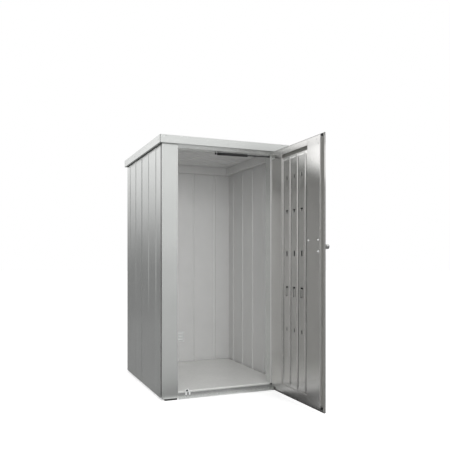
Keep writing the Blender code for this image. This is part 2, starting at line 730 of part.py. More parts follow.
def make_door_skin(door):
    """Outer tray with a return round all four edges, notched at the pivots and bored for the spindle."""
    tray = soften([(DOOR_HINGE_EDGE, SKIN_BACK), (DOOR_HINGE_EDGE, -SKIN_OUT), (-DOOR_REACH, -SKIN_OUT),
                   (-DOOR_REACH, SKIN_BACK)], {1: SKIN_CORNER})
    skin = add_piece("door_skin", extruded(tray, "Z", DOOR_BOTTOM, DOOR_TOP), "silver_paint", door)
    room = soften([(DOOR_HINGE_EDGE - SHEET, SKIN_BACK + OVERRUN), (DOOR_HINGE_EDGE - SHEET, -SKIN_IN),
                   (-DOOR_REACH + SHEET, -SKIN_IN), (-DOOR_REACH + SHEET, SKIN_BACK + OVERRUN)],
                  {1: SKIN_CORNER - SHEET})
    combine(skin, "DIFFERENCE", extruded(room, "Z", DOOR_BOTTOM + SHEET, DOOR_TOP - SHEET))
    notch = rectangle(-DOOR_HINGE_EDGE, DOOR_HINGE_EDGE + OVERRUN, GAP - SKIN_IN, SKIN_BACK + OVERRUN)
    height = SHEET + BLOCK_HEIGHT + 2 * GAP
    cuts = bmesh.new()
    add_rings(cuts, "Z", [(DOOR_BOTTOM - OVERRUN, notch), (DOOR_BOTTOM + height, notch)])
    add_rings(cuts, "Z", [(DOOR_TOP - height, notch), (DOOR_TOP + OVERRUN, notch)])
    hole = circle(-LOCK_REACH, LOCK_HEIGHT, 2 * SPINDLE_HALF, ROUND)
    add_rings(cuts, "Y", [(-SKIN_OUT - OVERRUN, hole), (0, hole)])
    combine(skin, "DIFFERENCE", cuts)


def make_pivot_blocks(door):
    """Blocks in the tray's hinge corners that turn on the frame's pins."""
    for name, low in (("bottom", DOOR_BOTTOM + SHEET + GAP), ("top", DOOR_TOP - SHEET - GAP - BLOCK_HEIGHT)):
        solid = block(GAP - BOX_START, DOOR_HINGE_EDGE, 2 * GAP - SKIN_IN, SKIN_BACK, low, low + BLOCK_HEIGHT)
        bush = add_piece("door_pivot_block_" + name, solid, "bright_zinc", door, smooth=True)
        bore = circle(0, 0, PIN_RADIUS + GAP, SMALL_ROUND)
        combine(bush, "DIFFERENCE", extruded(bore, "Z", low - OVERRUN, low + BLOCK_HEIGHT + OVERRUN))


def screw_places():
    """Reach and height of the lock's screws."""
    near, far = CASE_START + SCREW_INSET, CASE_END - SCREW_SETBACK
    high, low = CASE_TOP - SCREW_MARGIN, CASE_BOTTOM + SCREW_MARGIN
    return [(near, high), (far, high), (far, low)]


def screw_holes():
    """Cutters for the lock's screws through the stile and the case."""
    holes = bmesh.new()
    for reach, height in screw_places():
        hole = circle(-reach, height, SCREW_SHANK + GAP, SMALL_ROUND)
        add_rings(holes, "Y", [(CASE_FACE - 2 * SHEET, hole), (BOX_FACE + OVERRUN, hole)])
    return holes


def make_door_frame(door):
    """Two stiles and two rails, folded channels that stand open towards the skin."""
    step = BOX_FACE - STILE_STEP_DROP
    hinge_end = BOX_START + HINGE_STILE_WIDTH
    hinge_path = [(-BOX_START, BOX_REAR), (-BOX_START, step), (-BOX_START - STILE_STEP, step),
                  (-BOX_START - STILE_STEP - STILE_STEP_RUN, BOX_FACE), (-hinge_end, BOX_FACE),
                  (-hinge_end, BOX_REAR)]
    stile = extruded(folded(hinge_path), "Z", BOX_BOTTOM, BOX_TOP)
    add_piece("door_stile_hinge", stile, "silver_paint", door)
    lock_path = [(-LOCK_STILE_START, BOX_REAR), (-LOCK_STILE_START, BOX_FACE), (-BOX_END, BOX_FACE),
                 (-BOX_END, BOX_REAR)]
    stile = extruded(folded(lock_path), "Z", BOX_BOTTOM, BOX_TOP)
    combine(add_piece("door_stile_lock", stile, "silver_paint", door), "DIFFERENCE", screw_holes())
    for name, low, high in (("bottom", BOX_BOTTOM, BOX_BOTTOM + LOWER_RAIL_HEIGHT),
                            ("top", BOX_TOP - UPPER_RAIL_HEIGHT, BOX_TOP)):
        path = [(BOX_REAR, low), (BOX_FACE, low), (BOX_FACE, high), (BOX_REAR, high)]
        rail = extruded(folded(path), "X", -LINER_END, -LINER_START)
        add_piece("door_rail_" + name, rail, "silver_paint", door)


def make_door_liner(door):
    """Inner sheet between the stiles with upright ridges and rows of slots for hooks."""
    sheet = block(-LINER_END, -LINER_START, LINER_FACE - SHEET, LINER_FACE, LINER_BOTTOM, LINER_TOP)
    liner = add_piece("door_liner", sheet, "silver_paint", door)
    root = LINER_FACE - SHEET / 2
    ridges = bmesh.new()
    for index in range(RIDGES):
        centre = -LINER_START - RIDGE_START - index * RIDGE_PITCH
        outline = [(centre - RIDGE_FOOT / 2, root), (centre + RIDGE_FOOT / 2, root),
                   (centre + RIDGE_FOOT / 2, LINER_FACE), (centre + RIDGE_CREST / 2, LINER_FACE + RIDGE_HEIGHT),
                   (centre - RIDGE_CREST / 2, LINER_FACE + RIDGE_HEIGHT), (centre - RIDGE_FOOT / 2, LINER_FACE)]
        add_rings(ridges, "Z", [(LINER_BOTTOM + RIDGE_SETBACK, outline), (LINER_TOP - RIDGE_SETBACK, outline)])
    combine(liner, "UNION", ridges)
    slots = bmesh.new()
    for bay in range(RIDGES - 1):
        centre = -LINER_START - RIDGE_START - (bay + 1 / 2) * RIDGE_PITCH - SLOT_FROM_MIDDLE
        for share, (width, length) in zip(SLOT_HEIGHT_SHARES, SLOT_SIZES):
            height = LINER_BOTTOM + share * (LINER_TOP - LINER_BOTTOM)
            slot = rectangle(centre - width / 2, centre + width / 2, height - length / 2, height + length / 2)
            add_rings(slots, "Y", [(LINER_FACE - OVERRUN, slot), (LINER_FACE + OVERRUN, slot)])
    combine(liner, "DIFFERENCE", slots)


def make_lock_case(door):
    """Channel behind the lock stile, and the screws that hold it."""
    path = [(-CASE_START, CASE_SIDE), (-CASE_START, CASE_FACE), (-CASE_END, CASE_FACE), (-CASE_END, CASE_SIDE)]
    case = add_piece("lock_case", extruded(folded(path), "Z", CASE_BOTTOM, CASE_TOP), "galvanised", door)
    combine(case, "DIFFERENCE", screw_holes())
    seat = BOX_FACE + GAP
    profile = [(CASE_FACE - SHEET, SCREW_SHANK), (seat, SCREW_SHANK), (seat, SCREW_RADIUS),
               (seat + SCREW_HEAD / 2, SCREW_RADIUS), (seat + SCREW_HEAD, SCREW_RADIUS / 2)]
    for number, (reach, height) in enumerate(screw_places(), 1):
        screw = turned(profile, "Y", SMALL_ROUND)
        thing = add_piece("lock_screw_" + str(number), screw, "bright_zinc", door, smooth=True)
        thing.location = (-reach, 0, height)


def make_rod_guides(door):
    """Black guides in the ends of the lock stile, with a lip that stands out into the tray."""
    x_low = SHEET + GAP - BOX_END
    x_high = -LOCK_STILE_START - SHEET - GAP
    y_low = 2 * GAP - SKIN_IN
    y_high = BOX_FACE - SHEET - GAP
    for name, low, lip_low, lip_high in (
            ("bottom", BOX_BOTTOM, BOX_BOTTOM - GUIDE_LIP_BELOW, BOX_BOTTOM + GUIDE_HEIGHT / 2),
            ("top", BOX_TOP - GUIDE_HEIGHT, BOX_TOP - GUIDE_HEIGHT / 2, BOX_TOP + GUIDE_LIP_ABOVE)):
        solid = block(x_low, x_high, y_low, y_high, low, low + GUIDE_HEIGHT)
        guide = add_piece("rod_guide_" + name, solid, "black_nylon", door, smooth=True)
        lip_ends = (-LOCK_REACH - GUIDE_LIP_AHEAD, -LOCK_REACH + GUIDE_LIP_BACK)
        lip = block(*lip_ends, y_low, SKIN_BACK, lip_low, lip_high)
        combine(guide, "UNION", lip)
        bore = circle(-LOCK_REACH, ROD_FACE, ROD_RADIUS + HOLE_CLEARANCE, SMALL_ROUND)
        combine(guide, "DIFFERENCE", extruded(bore, "Z", lip_low - OVERRUN, lip_high + OVERRUN))


def make_strut_door_bracket(door):
    """Angle bracket on the hinge stile whose plate reaches out over the strut's end."""
    low = STRUT_Z - STRUT_FALL + SOCKET_HALF + BRACKET_CLEARANCE
    seat = BOX_FACE - STILE_STEP_DROP + GAP
    plate = block(-STRUT_DOOR_REACH - BRACKET_HALF, GAP - BOX_START, seat, STRUT_DOOR_FACE + SOCKET_RADIUS,
                  low, low + BRACKET_SHEET)
    bracket = add_piece("strut_bracket_door", plate, "bright_zinc", door, smooth=True)
    leaf = block(-BOX_START - STILE_STEP + BRACKET_SHEET, GAP - BOX_START, seat, seat + BRACKET_SHEET,
                 low + BRACKET_SHEET - BRACKET_LEAF, low + BRACKET_SHEET)
    combine(bracket, "UNION", leaf)


def make_handle(door, handle):
    """Escutcheon on the skin, and the grip, spindle and cam that turn in it."""
    plate = turned([(ESCUTCHEON_FRONT, ESCUTCHEON_RADIUS - EDGE_ROUNDING),
                    (ESCUTCHEON_FRONT + EDGE_ROUNDING, ESCUTCHEON_RADIUS),
                    (-SKIN_OUT - GAP, ESCUTCHEON_RADIUS)], "Y", ROUND)
    escutcheon = add_piece("handle_escutcheon", plate, "chrome", door, smooth=True)
    escutcheon.location = (-LOCK_REACH, 0, LOCK_HEIGHT)
    hole = circle(-LOCK_REACH, LOCK_HEIGHT, 2 * SPINDLE_HALF, ROUND)
    combine(escutcheon, "DIFFERENCE", extruded(hole, "Y", ESCUTCHEON_FRONT - OVERRUN, 0))

    bar_front = HUB_FRONT - GRIP_THICKNESS
    inner = stadium(0, 0, GRIP_HALF_LENGTH - EDGE_ROUNDING, GRIP_HALF_HEIGHT - EDGE_ROUNDING, ROUND // 2)
    outer = stadium(0, 0, GRIP_HALF_LENGTH, GRIP_HALF_HEIGHT, ROUND // 2)
    bar = bmesh.new()
    add_rings(bar, "Y", [(bar_front, inner), (bar_front + EDGE_ROUNDING, outer),
                         (HUB_FRONT - EDGE_ROUNDING, outer), (HUB_FRONT, inner)])
    grip = add_piece("handle_grip", bar, "chrome", handle, smooth=True)
    combine(grip, "UNION", turned([(HUB_FRONT - EDGE_ROUNDING, HUB_RADIUS - EDGE_ROUNDING),
                                   (HUB_BACK, HUB_RADIUS)], "Y", ROUND))
    socket = SPINDLE_HALF + GAP
    combine(grip, "DIFFERENCE", block(-socket, socket, HUB_BACK - SPINDLE_SEAT - GAP, 0, -socket, socket))

    shaft = block(-SPINDLE_HALF, SPINDLE_HALF, HUB_BACK - SPINDLE_SEAT, SPINDLE_END, -SPINDLE_HALF, SPINDLE_HALF)
    add_piece("handle_spindle", shaft, "bright_zinc", handle)
    disc = turned([(CAM_FACE, CAM_RADIUS), (CAM_FACE + CAM_THICKNESS, CAM_RADIUS)], "Y", ROUND)
    cam = add_piece("lock_cam", disc, "bright_zinc", handle, smooth=True)
    combine(cam, "DIFFERENCE", block(-socket, socket, CAM_FACE - OVERRUN, CAM_FACE + OVERRUN, -socket, socket))


def make_lock_rods(rod_line):
    """Rods above and below the handle, drawn back, on their common line."""
    for name, low, high in (("upper", LOCK_HEIGHT + ROD_END_GAP, BOX_TOP - ROD_SETBACK),
                            ("lower", BOX_BOTTOM + ROD_SETBACK, LOCK_HEIGHT - ROD_END_GAP)):
        profile = [(low, ROD_RADIUS - SHEET), (low + SHEET, ROD_RADIUS), (high - SHEET, ROD_RADIUS),
                   (high, ROD_RADIUS - SHEET)]
        add_piece("lock_rod_" + name, turned(profile, "Z", SMALL_ROUND), "bright_zinc", rod_line, smooth=True)


def make_strut(strut):
    """Gas cylinder with its socket, and the rod that slides in it, lying along the strut's own X."""
    body_start, body_end = SOCKET_NECK, STRUT_END
    profile = [(0, STUD_RADIUS), (body_start, STUD_RADIUS), (body_start, STRUT_RADIUS - STRUT_SHOULDER),
               (body_start + STRUT_SHOULDER, STRUT_RADIUS), (body_end - STRUT_SHOULDER, STRUT_RADIUS),
               (body_end, STRUT_RADIUS - STRUT_SHOULDER)]
    cylinder = add_piece("strut_cylinder", turned(profile, "X", ROUND), "black_paint", strut, smooth=True)
    eye = circle(0, 0, SOCKET_RADIUS, SMALL_ROUND)
    combine(cylinder, "UNION", extruded(eye, "Z", -SOCKET_HALF, SOCKET_HALF))
    cuts = bmesh.new()
    bore = circle(0, 0, STUD_RADIUS + HOLE_CLEARANCE, SMALL_ROUND)
    add_rings(cuts, "Z", [(-OVERRUN, bore), (OVERRUN, bore)])
    rod_start = body_end - STRUT_ROD_OVERLAP
    barrel = circle(0, 0, STRUT_ROD_RADIUS + HOLE_CLEARANCE, SMALL_ROUND)
    add_rings(cuts, "X", [(rod_start - STRUT_TRAVEL - OVERRUN, barrel), (body_end + OVERRUN, barrel)])
    combine(cylinder, "DIFFERENCE", cuts)

    rod = extruded(circle(0, 0, STRUT_ROD_RADIUS, SMALL_ROUND), "X", rod_start, STRUT_OPEN)
    piston = add_piece("strut_rod", rod, "black_paint", strut, smooth=True)
    eye = circle(STRUT_OPEN, 0, SOCKET_RADIUS, SMALL_ROUND)
    combine(piston, "UNION", extruded(eye, "Z", -SOCKET_HALF, SOCKET_HALF))


def make_body(body):
    """Everything that stands still."""
    make_feet(body)
    make_sill(body)
    make_base_rails(body)
    make_floor(body)
    make_pillars(body)
    make_corner_posts(body)
    make_side_walls(body)
    make_rear_walls(body)
    make_top_rails(body)
    make_header(body)
    make_roof_sheet(body)
    make_fascias(body)
    make_frame_pivots(body)
    make_strike_bush(body, "strike_bush_bottom", SILL_TOP + GAP, 1, True)
    make_strike_bush(body, "strike_bush_top", HEADER_BOTTOM - GAP, -1, False)
    make_strut_header_bracket(body)


def make_door(door):
    """The swinging door with its handle and lock rods, drawn shut in the door's own frame."""
    make_door_skin(door)
    make_pivot_blocks(door)
    make_door_frame(door)
    make_door_liner(door)
    make_lock_case(door)
    make_rod_guides(door)
    make_strut_door_bracket(door)
    make_handle(door, add_carrier("handle_axis", (-LOCK_REACH, 0, LOCK_HEIGHT), 0, door))
    make_lock_rods(add_carrier("rod_line", (-LOCK_REACH, ROD_FACE, 0), 0, door))


def main():
    """Build the cabinet with its door open at a right angle."""
    clear_scene()
    body = add_carrier("cabinet_frame", (0, SHIFT_Y, 0), 0, None)
    make_body(body)
    make_door(add_carrier("door_axis", (PIVOT_X, PIVOT_Y, 0), pi / 2, body))
    lean = atan2(STRUT_RUN_OPEN.y, STRUT_RUN_OPEN.x)
    dip = atan2(STRUT_FALL, STRUT_RUN_OPEN.length)
    make_strut(add_carrier("strut_axis", (STRUT_X, STRUT_SETBACK, STRUT_Z), lean, body, dip))


main()
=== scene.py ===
# %% [markdown]
# # A patio storage cabinet in folded sheet steel
# This notebook dresses a plain CAD model of a tall outdoor cabinet: a framed body, a roof with a folded
# edge, one door that stands open, a turning handle and a gas strut. The CAD is loaded as a fixed frame.
# Every piece that is made here sits where the CAD says and moves with one of its bodies.

# %% Load the frame
import json
from math import degrees, pi, radians

import bmesh
import bpy
from mathutils import Matrix, Vector


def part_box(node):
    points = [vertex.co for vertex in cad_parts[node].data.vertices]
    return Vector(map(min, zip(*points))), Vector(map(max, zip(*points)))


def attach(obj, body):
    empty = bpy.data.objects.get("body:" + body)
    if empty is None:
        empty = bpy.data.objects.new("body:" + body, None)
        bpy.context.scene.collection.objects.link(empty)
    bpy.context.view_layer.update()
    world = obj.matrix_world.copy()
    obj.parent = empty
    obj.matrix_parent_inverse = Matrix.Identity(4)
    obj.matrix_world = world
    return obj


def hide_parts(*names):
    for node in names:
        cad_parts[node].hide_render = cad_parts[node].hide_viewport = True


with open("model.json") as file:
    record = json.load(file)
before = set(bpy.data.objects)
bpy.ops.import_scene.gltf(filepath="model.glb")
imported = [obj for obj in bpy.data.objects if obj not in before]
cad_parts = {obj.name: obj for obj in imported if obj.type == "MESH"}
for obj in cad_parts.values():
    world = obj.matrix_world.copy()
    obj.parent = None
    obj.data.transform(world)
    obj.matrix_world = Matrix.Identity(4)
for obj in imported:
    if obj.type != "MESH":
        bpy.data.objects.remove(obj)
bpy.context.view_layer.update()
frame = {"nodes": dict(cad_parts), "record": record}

# %% [markdown]
# ## Measures that several steps share
# A folded sheet has few sizes: its thickness and the radius of its bends. The rest is read from the CAD
# nodes' boxes, so a piece can't drift away from the part that it stands for.

# %% Shared measures
SHEET = 0.0010
# A gap as wide as a hair, so two faces never lie in one plane
HAIR = 0.0003
TIGHT_BEND = 0.0015
WIDE_BEND = 0.0030
UP = Vector((0, 0, 1))
LEFT, RIGHT = Vector((-1, 0, 0)), Vector((1, 0, 0))
FORWARD, BACK = Vector((0, -1, 0)), Vector((0, 1, 0))
SIDES = (("left", -1), ("right", 1))
JOINTS = {joint["name"]: joint for joint in frame["record"]["behaviour"]["joints"]}


def node_box(node):
    """Lowest and highest corner of a CAD node, as vectors."""
    low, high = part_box(node)
    return Vector(low), Vector(high)


left_pillar = node_box("pillar_front_left")
FRONT = left_pillar[0].y
HALF_WIDTH = -left_pillar[0].x
OPENING = -left_pillar[1].x
REAR = node_box("wall_rear_left")[1].y
BODY_BOTTOM, BODY_TOP = left_pillar[0].z, left_pillar[1].z
print("front plane y %.4f, half width %.4f, depth %.4f" % (FRONT, HALF_WIDTH, REAR - FRONT))

# %% [markdown]
# ## Colours and nodes
# Colours are easier to judge as the sRGB values that a screen shows, and Blender's shaders work in linear
# light, so one function turns a hex value to linear. One more function adds a node with its options and its
# inputs. A new material has its shader already, so filling inputs is a small function of its own.

# %% Colour and node helpers


def srgb(hex_value):
    """Linear RGBA from an sRGB hex value such as C8CBCA."""
    shares = [int(hex_value[place:place + 2], 16) / 255 for place in (0, 2, 4)]
    linear = [share / 12.92 if share <= 0.04045 else ((share + 0.055) / 1.055) ** 2.4 for share in shares]
    return (*linear, 1)


def fill(tree, node, inputs):
    """Link every input that is given a socket, and set the others."""
    for key, value in inputs.items():
        if isinstance(value, bpy.types.NodeSocket):
            tree.links.new(value, node.inputs[key])
        else:
            node.inputs[key].default_value = value


def add_node(tree, kind, inputs=None, **settings):
    """Add a node with its options and its inputs."""
    node = tree.nodes.new(kind)
    for name, value in settings.items():
        setattr(node, name, value)
    fill(tree, node, inputs or {})
    return node


def start_finish(name):
    """An empty node material with its shader, its tree and Object coordinates."""
    material = bpy.data.materials.new(name)
    material.use_nodes = True
    tree = material.node_tree
    shader = tree.nodes["Principled BSDF"]
    place = add_node(tree, "ShaderNodeTexCoord").outputs["Object"]
    return material, tree, shader, place


# The Mix node has an A and a B for each kind of value, so the colour ones are named by their number
COLOUR_A, COLOUR_B, COLOUR_OUT = 6, 7, 2


def per_metre(millimetres):
    """How often a pattern of this size repeats in a metre, which is what a texture's Scale asks for."""
    return 1000 / millimetres


FINISHES = {}
print("white is", srgb("FFFFFF")[:3])

# %% [markdown]
# ## Silver coil coat
# The walls, the frame and the door are galvanised steel with a silver polyester coat, rolled on before the
# sheet is folded. The eye sees three things: aluminium flakes that make it shine like satin metal, a faint
# orange peel of the cured coat, and the slight waviness of thin sheet, which bends what it reflects. So it is
# a metallic shader under a thin clear coat, with flakes and peel as fine noise and the waviness as a slow
# one. Flakes of 0.1 mm would vanish in a picture of the whole cabinet, so they are drawn at 1.5 mm. The door's
# top fold pulls its inner sheets a little out of flat, so its upper end mirrors the sky much further down.

# %% Silver coats
# Lowest and highest place of the dent, and its depth
DOOR_DENT = (1.42, 1.70, 0.030)


def coil_coat(name, dark, light, metal=0.86, dent=None):
    """A silver coat that varies between two close tones. dent is its lowest and highest place and its depth."""
    material, tree, shader, place = start_finish(name)
    # Real sizes in millimetres, and how many finer layers each noise has
    flake, batch, film, peel, wave = (
        add_node(tree, "ShaderNodeTexNoise", {"Vector": place, "Scale": per_metre(size), "Detail": detail})
        .outputs["Fac"] for size, detail in ((1.5, 2.0), (420, 1.0), (60, 3.0), (4, 1.0), (260, 0.0)))
    both = add_node(tree, "ShaderNodeMath", {0: flake, 1: batch}, operation="ADD")
    tone = add_node(tree, "ShaderNodeMapRange", {"Value": both.outputs[0], "From Min": 0.6, "From Max": 1.4})
    colour = add_node(tree, "ShaderNodeMix", {0: tone.outputs["Result"], COLOUR_A: srgb(dark),
                                              COLOUR_B: srgb(light)}, data_type="RGBA")
    sheen = add_node(tree, "ShaderNodeMapRange", {"Value": film, "To Min": 0.22, "To Max": 0.28})
    fine = add_node(tree, "ShaderNodeBump", {"Height": peel, "Strength": 0.25, "Distance": 0.0001})
    relief = add_node(tree, "ShaderNodeBump", {"Height": wave, "Strength": 1.0, "Distance": 0.0030,
                                               "Normal": fine.outputs["Normal"]})
    if dent:
        low, high, depth = dent
        height = add_node(tree, "ShaderNodeSeparateXYZ", {"Vector": place}).outputs["Z"]
        sunk = add_node(tree, "ShaderNodeMapRange", {"Value": height, "From Min": low, "From Max": high,
                                                     "To Min": depth, "To Max": 0.0},
                        interpolation_type="SMOOTHSTEP")
        relief = add_node(tree, "ShaderNodeBump", {"Height": sunk.outputs["Result"], "Strength": 1.0,
                                                   "Distance": 1.0, "Normal": relief.outputs["Normal"]})
    fill(tree, shader, {"Base Color": colour.outputs[COLOUR_OUT], "Roughness": sheen.outputs["Result"],
                        "Normal": relief.outputs["Normal"], "Metallic": metal, "Coat Weight": 0.12,
                        "Coat Roughness": 0.22})
    return material


FINISHES["silver_paint"] = coil_coat("silver_polyester_coil_coat", "D6D8D6", "E2E4E2")
FINISHES["roof_paint"] = coil_coat("silver_polyester_roof_coat", "D8DAD8", "E4E6E4")
FINISHES["door_paint"] = coil_coat("silver_polyester_door_coat", "D8D7D5", "E4E3E1", 0.95, DOOR_DENT)
print("coats:", sorted(FINISHES))

# %% [markdown]
# ## Backing coat
# Only the good side of the strip gets the full coat. The back, which is the inside of the walls, gets a thin
# light grey primer with little metal in it: it looks soft and even, and it keeps the room bright. The back of
# the door's skin carries painted shade: a near-black primer behind the slots, so they read as black openings,
# and a grey one where its edge shows beside the box. The vent plate, the lower bush and the lock screws are
# zinc plated and passivated: a whitish, nearly matt skin that is as cloudy as a primer.

# %% Backing coats


def backing_coat(name, dark, light, metal, roughness):
    """A thin primer: cloudy tone and a fine orange peel."""
    material, tree, shader, place = start_finish(name)
    cloud = add_node(tree, "ShaderNodeTexNoise", {"Vector": place, "Scale": per_metre(140), "Detail": 2.0})
    peel = add_node(tree, "ShaderNodeTexNoise", {"Vector": place, "Scale": per_metre(5), "Detail": 1.0})
    colour = add_node(tree, "ShaderNodeMix", {0: cloud.outputs["Fac"], COLOUR_A: srgb(dark),
                                              COLOUR_B: srgb(light)}, data_type="RGBA")
    relief = add_node(tree, "ShaderNodeBump", {"Height": peel.outputs["Fac"], "Strength": 0.3,
                                               "Distance": 0.0001})
    fill(tree, shader, {"Base Color": colour.outputs[COLOUR_OUT], "Normal": relief.outputs["Normal"],
                        "Metallic": metal, "Roughness": roughness})
    return material


# The grey and the dark grey primer are painted shade on the back of the door's skin
for slot, name, dark, light, metal, roughness in (
        ("light_backing", "light_grey_backing_primer", "D7D7D6", "DFDFDE", 0.12, 0.42),
        ("grey_backing", "grey_backing_primer", "9A9A96", "A2A29E", 0.0, 0.60),
        ("painted_shade_backing", "painted_shade_dark_primer", "262727", "2F3030", 0.0, 0.60),
        ("white_zinc", "white_passivated_zinc", "E4E6E6", "F2F3F2", 0.30, 0.30)):
    FINISHES[slot] = backing_coat(name, dark, light, metal, roughness)
print("backing coats:", sorted(FINISHES))

# %% [markdown]
# ## Bare zinc
# The floor, the roof sheet and the rails out of sight are left as galvanised sheet. Hot zinc freezes in
# spangles of about 12 mm, each a slightly different grey. Cells of a Voronoi texture give each spangle its own
# tone. On the floor a dull skin of zinc carbonate lies over the metal, so less of it mirrors. Hinge brackets,
# pins and small screws are zinc plated in a bath, which leaves a finer, brighter skin with soft cloudy stains
# and no spangle, so they only get noise.

# %% Zinc finishes


def zinc_sheet(name, dark, light, metal):
    """Spangled zinc. metal is how much of it still mirrors."""
    material, tree, shader, place = start_finish(name)
    spangle = add_node(tree, "ShaderNodeTexVoronoi", {"Vector": place, "Scale": per_metre(12)})
    grey = add_node(tree, "ShaderNodeSeparateColor", {"Color": spangle.outputs["Color"]})
    colour = add_node(tree, "ShaderNodeMix", {0: grey.outputs["Red"], COLOUR_A: srgb(dark),
                                              COLOUR_B: srgb(light)}, data_type="RGBA")
    smear = add_node(tree, "ShaderNodeTexNoise", {"Vector": place, "Scale": per_metre(150), "Detail": 1.0})
    gloss = add_node(tree, "ShaderNodeMapRange", {"Value": smear.outputs["Fac"], "To Min": 0.22,
                                                  "To Max": 0.28})
    wave = add_node(tree, "ShaderNodeTexNoise", {"Vector": place, "Scale": per_metre(220), "Detail": 0.0})
    wavy = add_node(tree, "ShaderNodeBump", {"Height": wave.outputs["Fac"], "Strength": 1.0,
                                             "Distance": 0.002})
    fill(tree, shader, {"Base Color": colour.outputs[COLOUR_OUT], "Roughness": gloss.outputs["Result"],
                        "Normal": wavy.outputs["Normal"], "Metallic": metal})
    return material


FINISHES["galvanised"] = zinc_sheet("hot_dip_galvanised_sheet", "CACCCB", "D8DAD9", 0.88)
FINISHES["floor_zinc"] = zinc_sheet("weathered_galvanised_floor", "EAEAE8", "F0F0EE", 0.28)

plating, tree, shader, place = start_finish("bright_zinc_plated_steel")
cloud = add_node(tree, "ShaderNodeTexNoise", {"Vector": place, "Scale": per_metre(9), "Detail": 3.0})
colour = add_node(tree, "ShaderNodeMix", {0: cloud.outputs["Fac"], COLOUR_A: srgb("C4C6C4"),
                                          COLOUR_B: srgb("E2E3DF")}, data_type="RGBA")
gloss = add_node(tree, "ShaderNodeMapRange", {"Value": cloud.outputs["Fac"], "To Min": 0.16, "To Max": 0.30})
fill(tree, shader, {"Base Color": colour.outputs[COLOUR_OUT], "Roughness": gloss.outputs["Result"],
                    "Metallic": 1.0})
FINISHES["bright_zinc"] = plating
print("zinc:", FINISHES["galvanised"].name, plating.name)

# %% [markdown]
# ## Handle, strut and black parts
# The handle is die-cast zinc with a satin chrome skin. Satin chrome is brushed before it is plated, and the
# fine lines stretch the highlight, so its roughness comes from noise that is squeezed along one axis. The gas
# strut has a black enamelled tube and a blackened rod. The guides of the lock rods are moulded black nylon,
# whose spark-eroded grain is about 0.3 mm and is drawn at 1 mm, and the feet are matt black rubber.

# %% Chrome, enamel, nylon and rubber
chrome, tree, shader, place = start_finish("satin_chrome_on_die_cast_zinc")
squeeze = add_node(tree, "ShaderNodeMapping", {"Vector": place, "Scale": (8.0, 1.0, 8.0)})
brush = add_node(tree, "ShaderNodeTexNoise", {"Vector": squeeze.outputs["Vector"], "Scale": per_metre(16),
                                              "Detail": 3.0})
gloss = add_node(tree, "ShaderNodeMapRange", {"Value": brush.outputs["Fac"], "To Min": 0.20, "To Max": 0.38})
fill(tree, shader, {"Base Color": srgb("D8D9D8"), "Metallic": 1.0, "Roughness": gloss.outputs["Result"]})
FINISHES["handle_chrome"] = chrome


def black_part(name, dark, light, roughness, grain, depth, coat):
    """A black finish with a little noise in its tone. grain is in millimetres, coat is clear varnish."""
    material, tree, shader, place = start_finish(name)
    speck = add_node(tree, "ShaderNodeTexNoise", {"Vector": place, "Scale": per_metre(grain), "Detail": 2.0})
    colour = add_node(tree, "ShaderNodeMix", {0: speck.outputs["Fac"], COLOUR_A: srgb(dark),
                                              COLOUR_B: srgb(light)}, data_type="RGBA")
    relief = add_node(tree, "ShaderNodeBump", {"Height": speck.outputs["Fac"], "Strength": 0.5,
                                               "Distance": depth})
    fill(tree, shader, {"Base Color": colour.outputs[COLOUR_OUT], "Normal": relief.outputs["Normal"],
                        "Roughness": roughness, "Coat Weight": coat, "Coat Roughness": 0.15})
    return material


FINISHES["black_paint"] = black_part("black_baked_enamel", "0B0C0D", "131416", 0.36, 4, 0.00005, 0.2)
FINISHES["black_nylon"] = black_part("black_moulded_nylon", "131415", "1E1F20", 0.50, 1, 0.0002, 0.0)
FINISHES["black_rubber"] = black_part("black_rubber", "151515", "212120", 0.75, 2, 0.0004, 0.0)
print("finishes:", sorted(FINISHES))

# %% [markdown]
# ## Bending sheet metal
# A folding machine makes every sheet here: a flat strip is bent along straight lines. The quickest way to the
# same shape is to draw the outer face's corners as points, sweep them along the fold, round the folds with a
# bevel and then give the face its thickness. Two things decide whether it looks like sheet. Each bend has a
# radius, which catches a thin line of light, and big flat faces must stay flat, which the Weighted Normal
# modifier takes care of.

# %% Folding helpers


def pull(shape, edges, run):
    """Extrude edges into walls and move the new rim by run."""
    walls = bmesh.ops.extrude_edge_only(shape, edges=edges)["geom"]
    bmesh.ops.translate(shape, vec=run, verts=[part for part in walls if isinstance(part, bmesh.types.BMVert)])


def swept_strip(corners, run):
    """Sweep an open line of corners by run. Returns the shape and its inner fold edges, in order."""
    shape = bmesh.new()
    line = [shape.verts.new(corner) for corner in corners]
    pull(shape, [shape.edges.new(pair) for pair in zip(line, line[1:])], run)
    folds = [next(edge for edge in corner.link_edges if len(edge.link_faces) == 2) for corner in line[1:-1]]
    return shape, folds


def bend(shape, edges, radius, flats=3, clamp=True):
    """Round some edges. A fold's quarter turn gets about three flats."""
    bmesh.ops.bevel(shape, geom=edges, offset=radius, offset_type="OFFSET", affect="EDGES", segments=flats,
                    profile=0.5, material=-1, clamp_overlap=clamp)


def thicken(shape, outward, sheet=SHEET):
    """Turn the largest face towards outward and grow the sheet on its other side."""
    bmesh.ops.recalc_face_normals(shape, faces=shape.faces)
    largest = max(shape.faces, key=lambda face: face.calc_area())
    if largest.normal.dot(outward) < 0:
        bmesh.ops.reverse_faces(shape, faces=shape.faces)
    bmesh.ops.solidify(shape, geom=shape.faces[:], thickness=sheet)


def folded_sheet(corners, run, outward, bends, sheet=SHEET):
    """A folded sheet. bends gives the radius of each inner corner, or one radius for all of them."""
    shape, folds = swept_strip(corners, run)
    radii = bends if isinstance(bends, (list, tuple)) else [bends] * len(folds)
    for radius in sorted(set(radii)):
        bend(shape, [fold for fold, own in zip(folds, radii) if own == radius], radius)
    thicken(shape, outward, sheet)
    return shape


def upright_sheet(plan, bottom, top, outward, bends):
    """A folded sheet that stands: plan is its line as (x, y)."""
    return folded_sheet([(x, y, bottom) for x, y in plan], UP * (top - bottom), outward, bends)


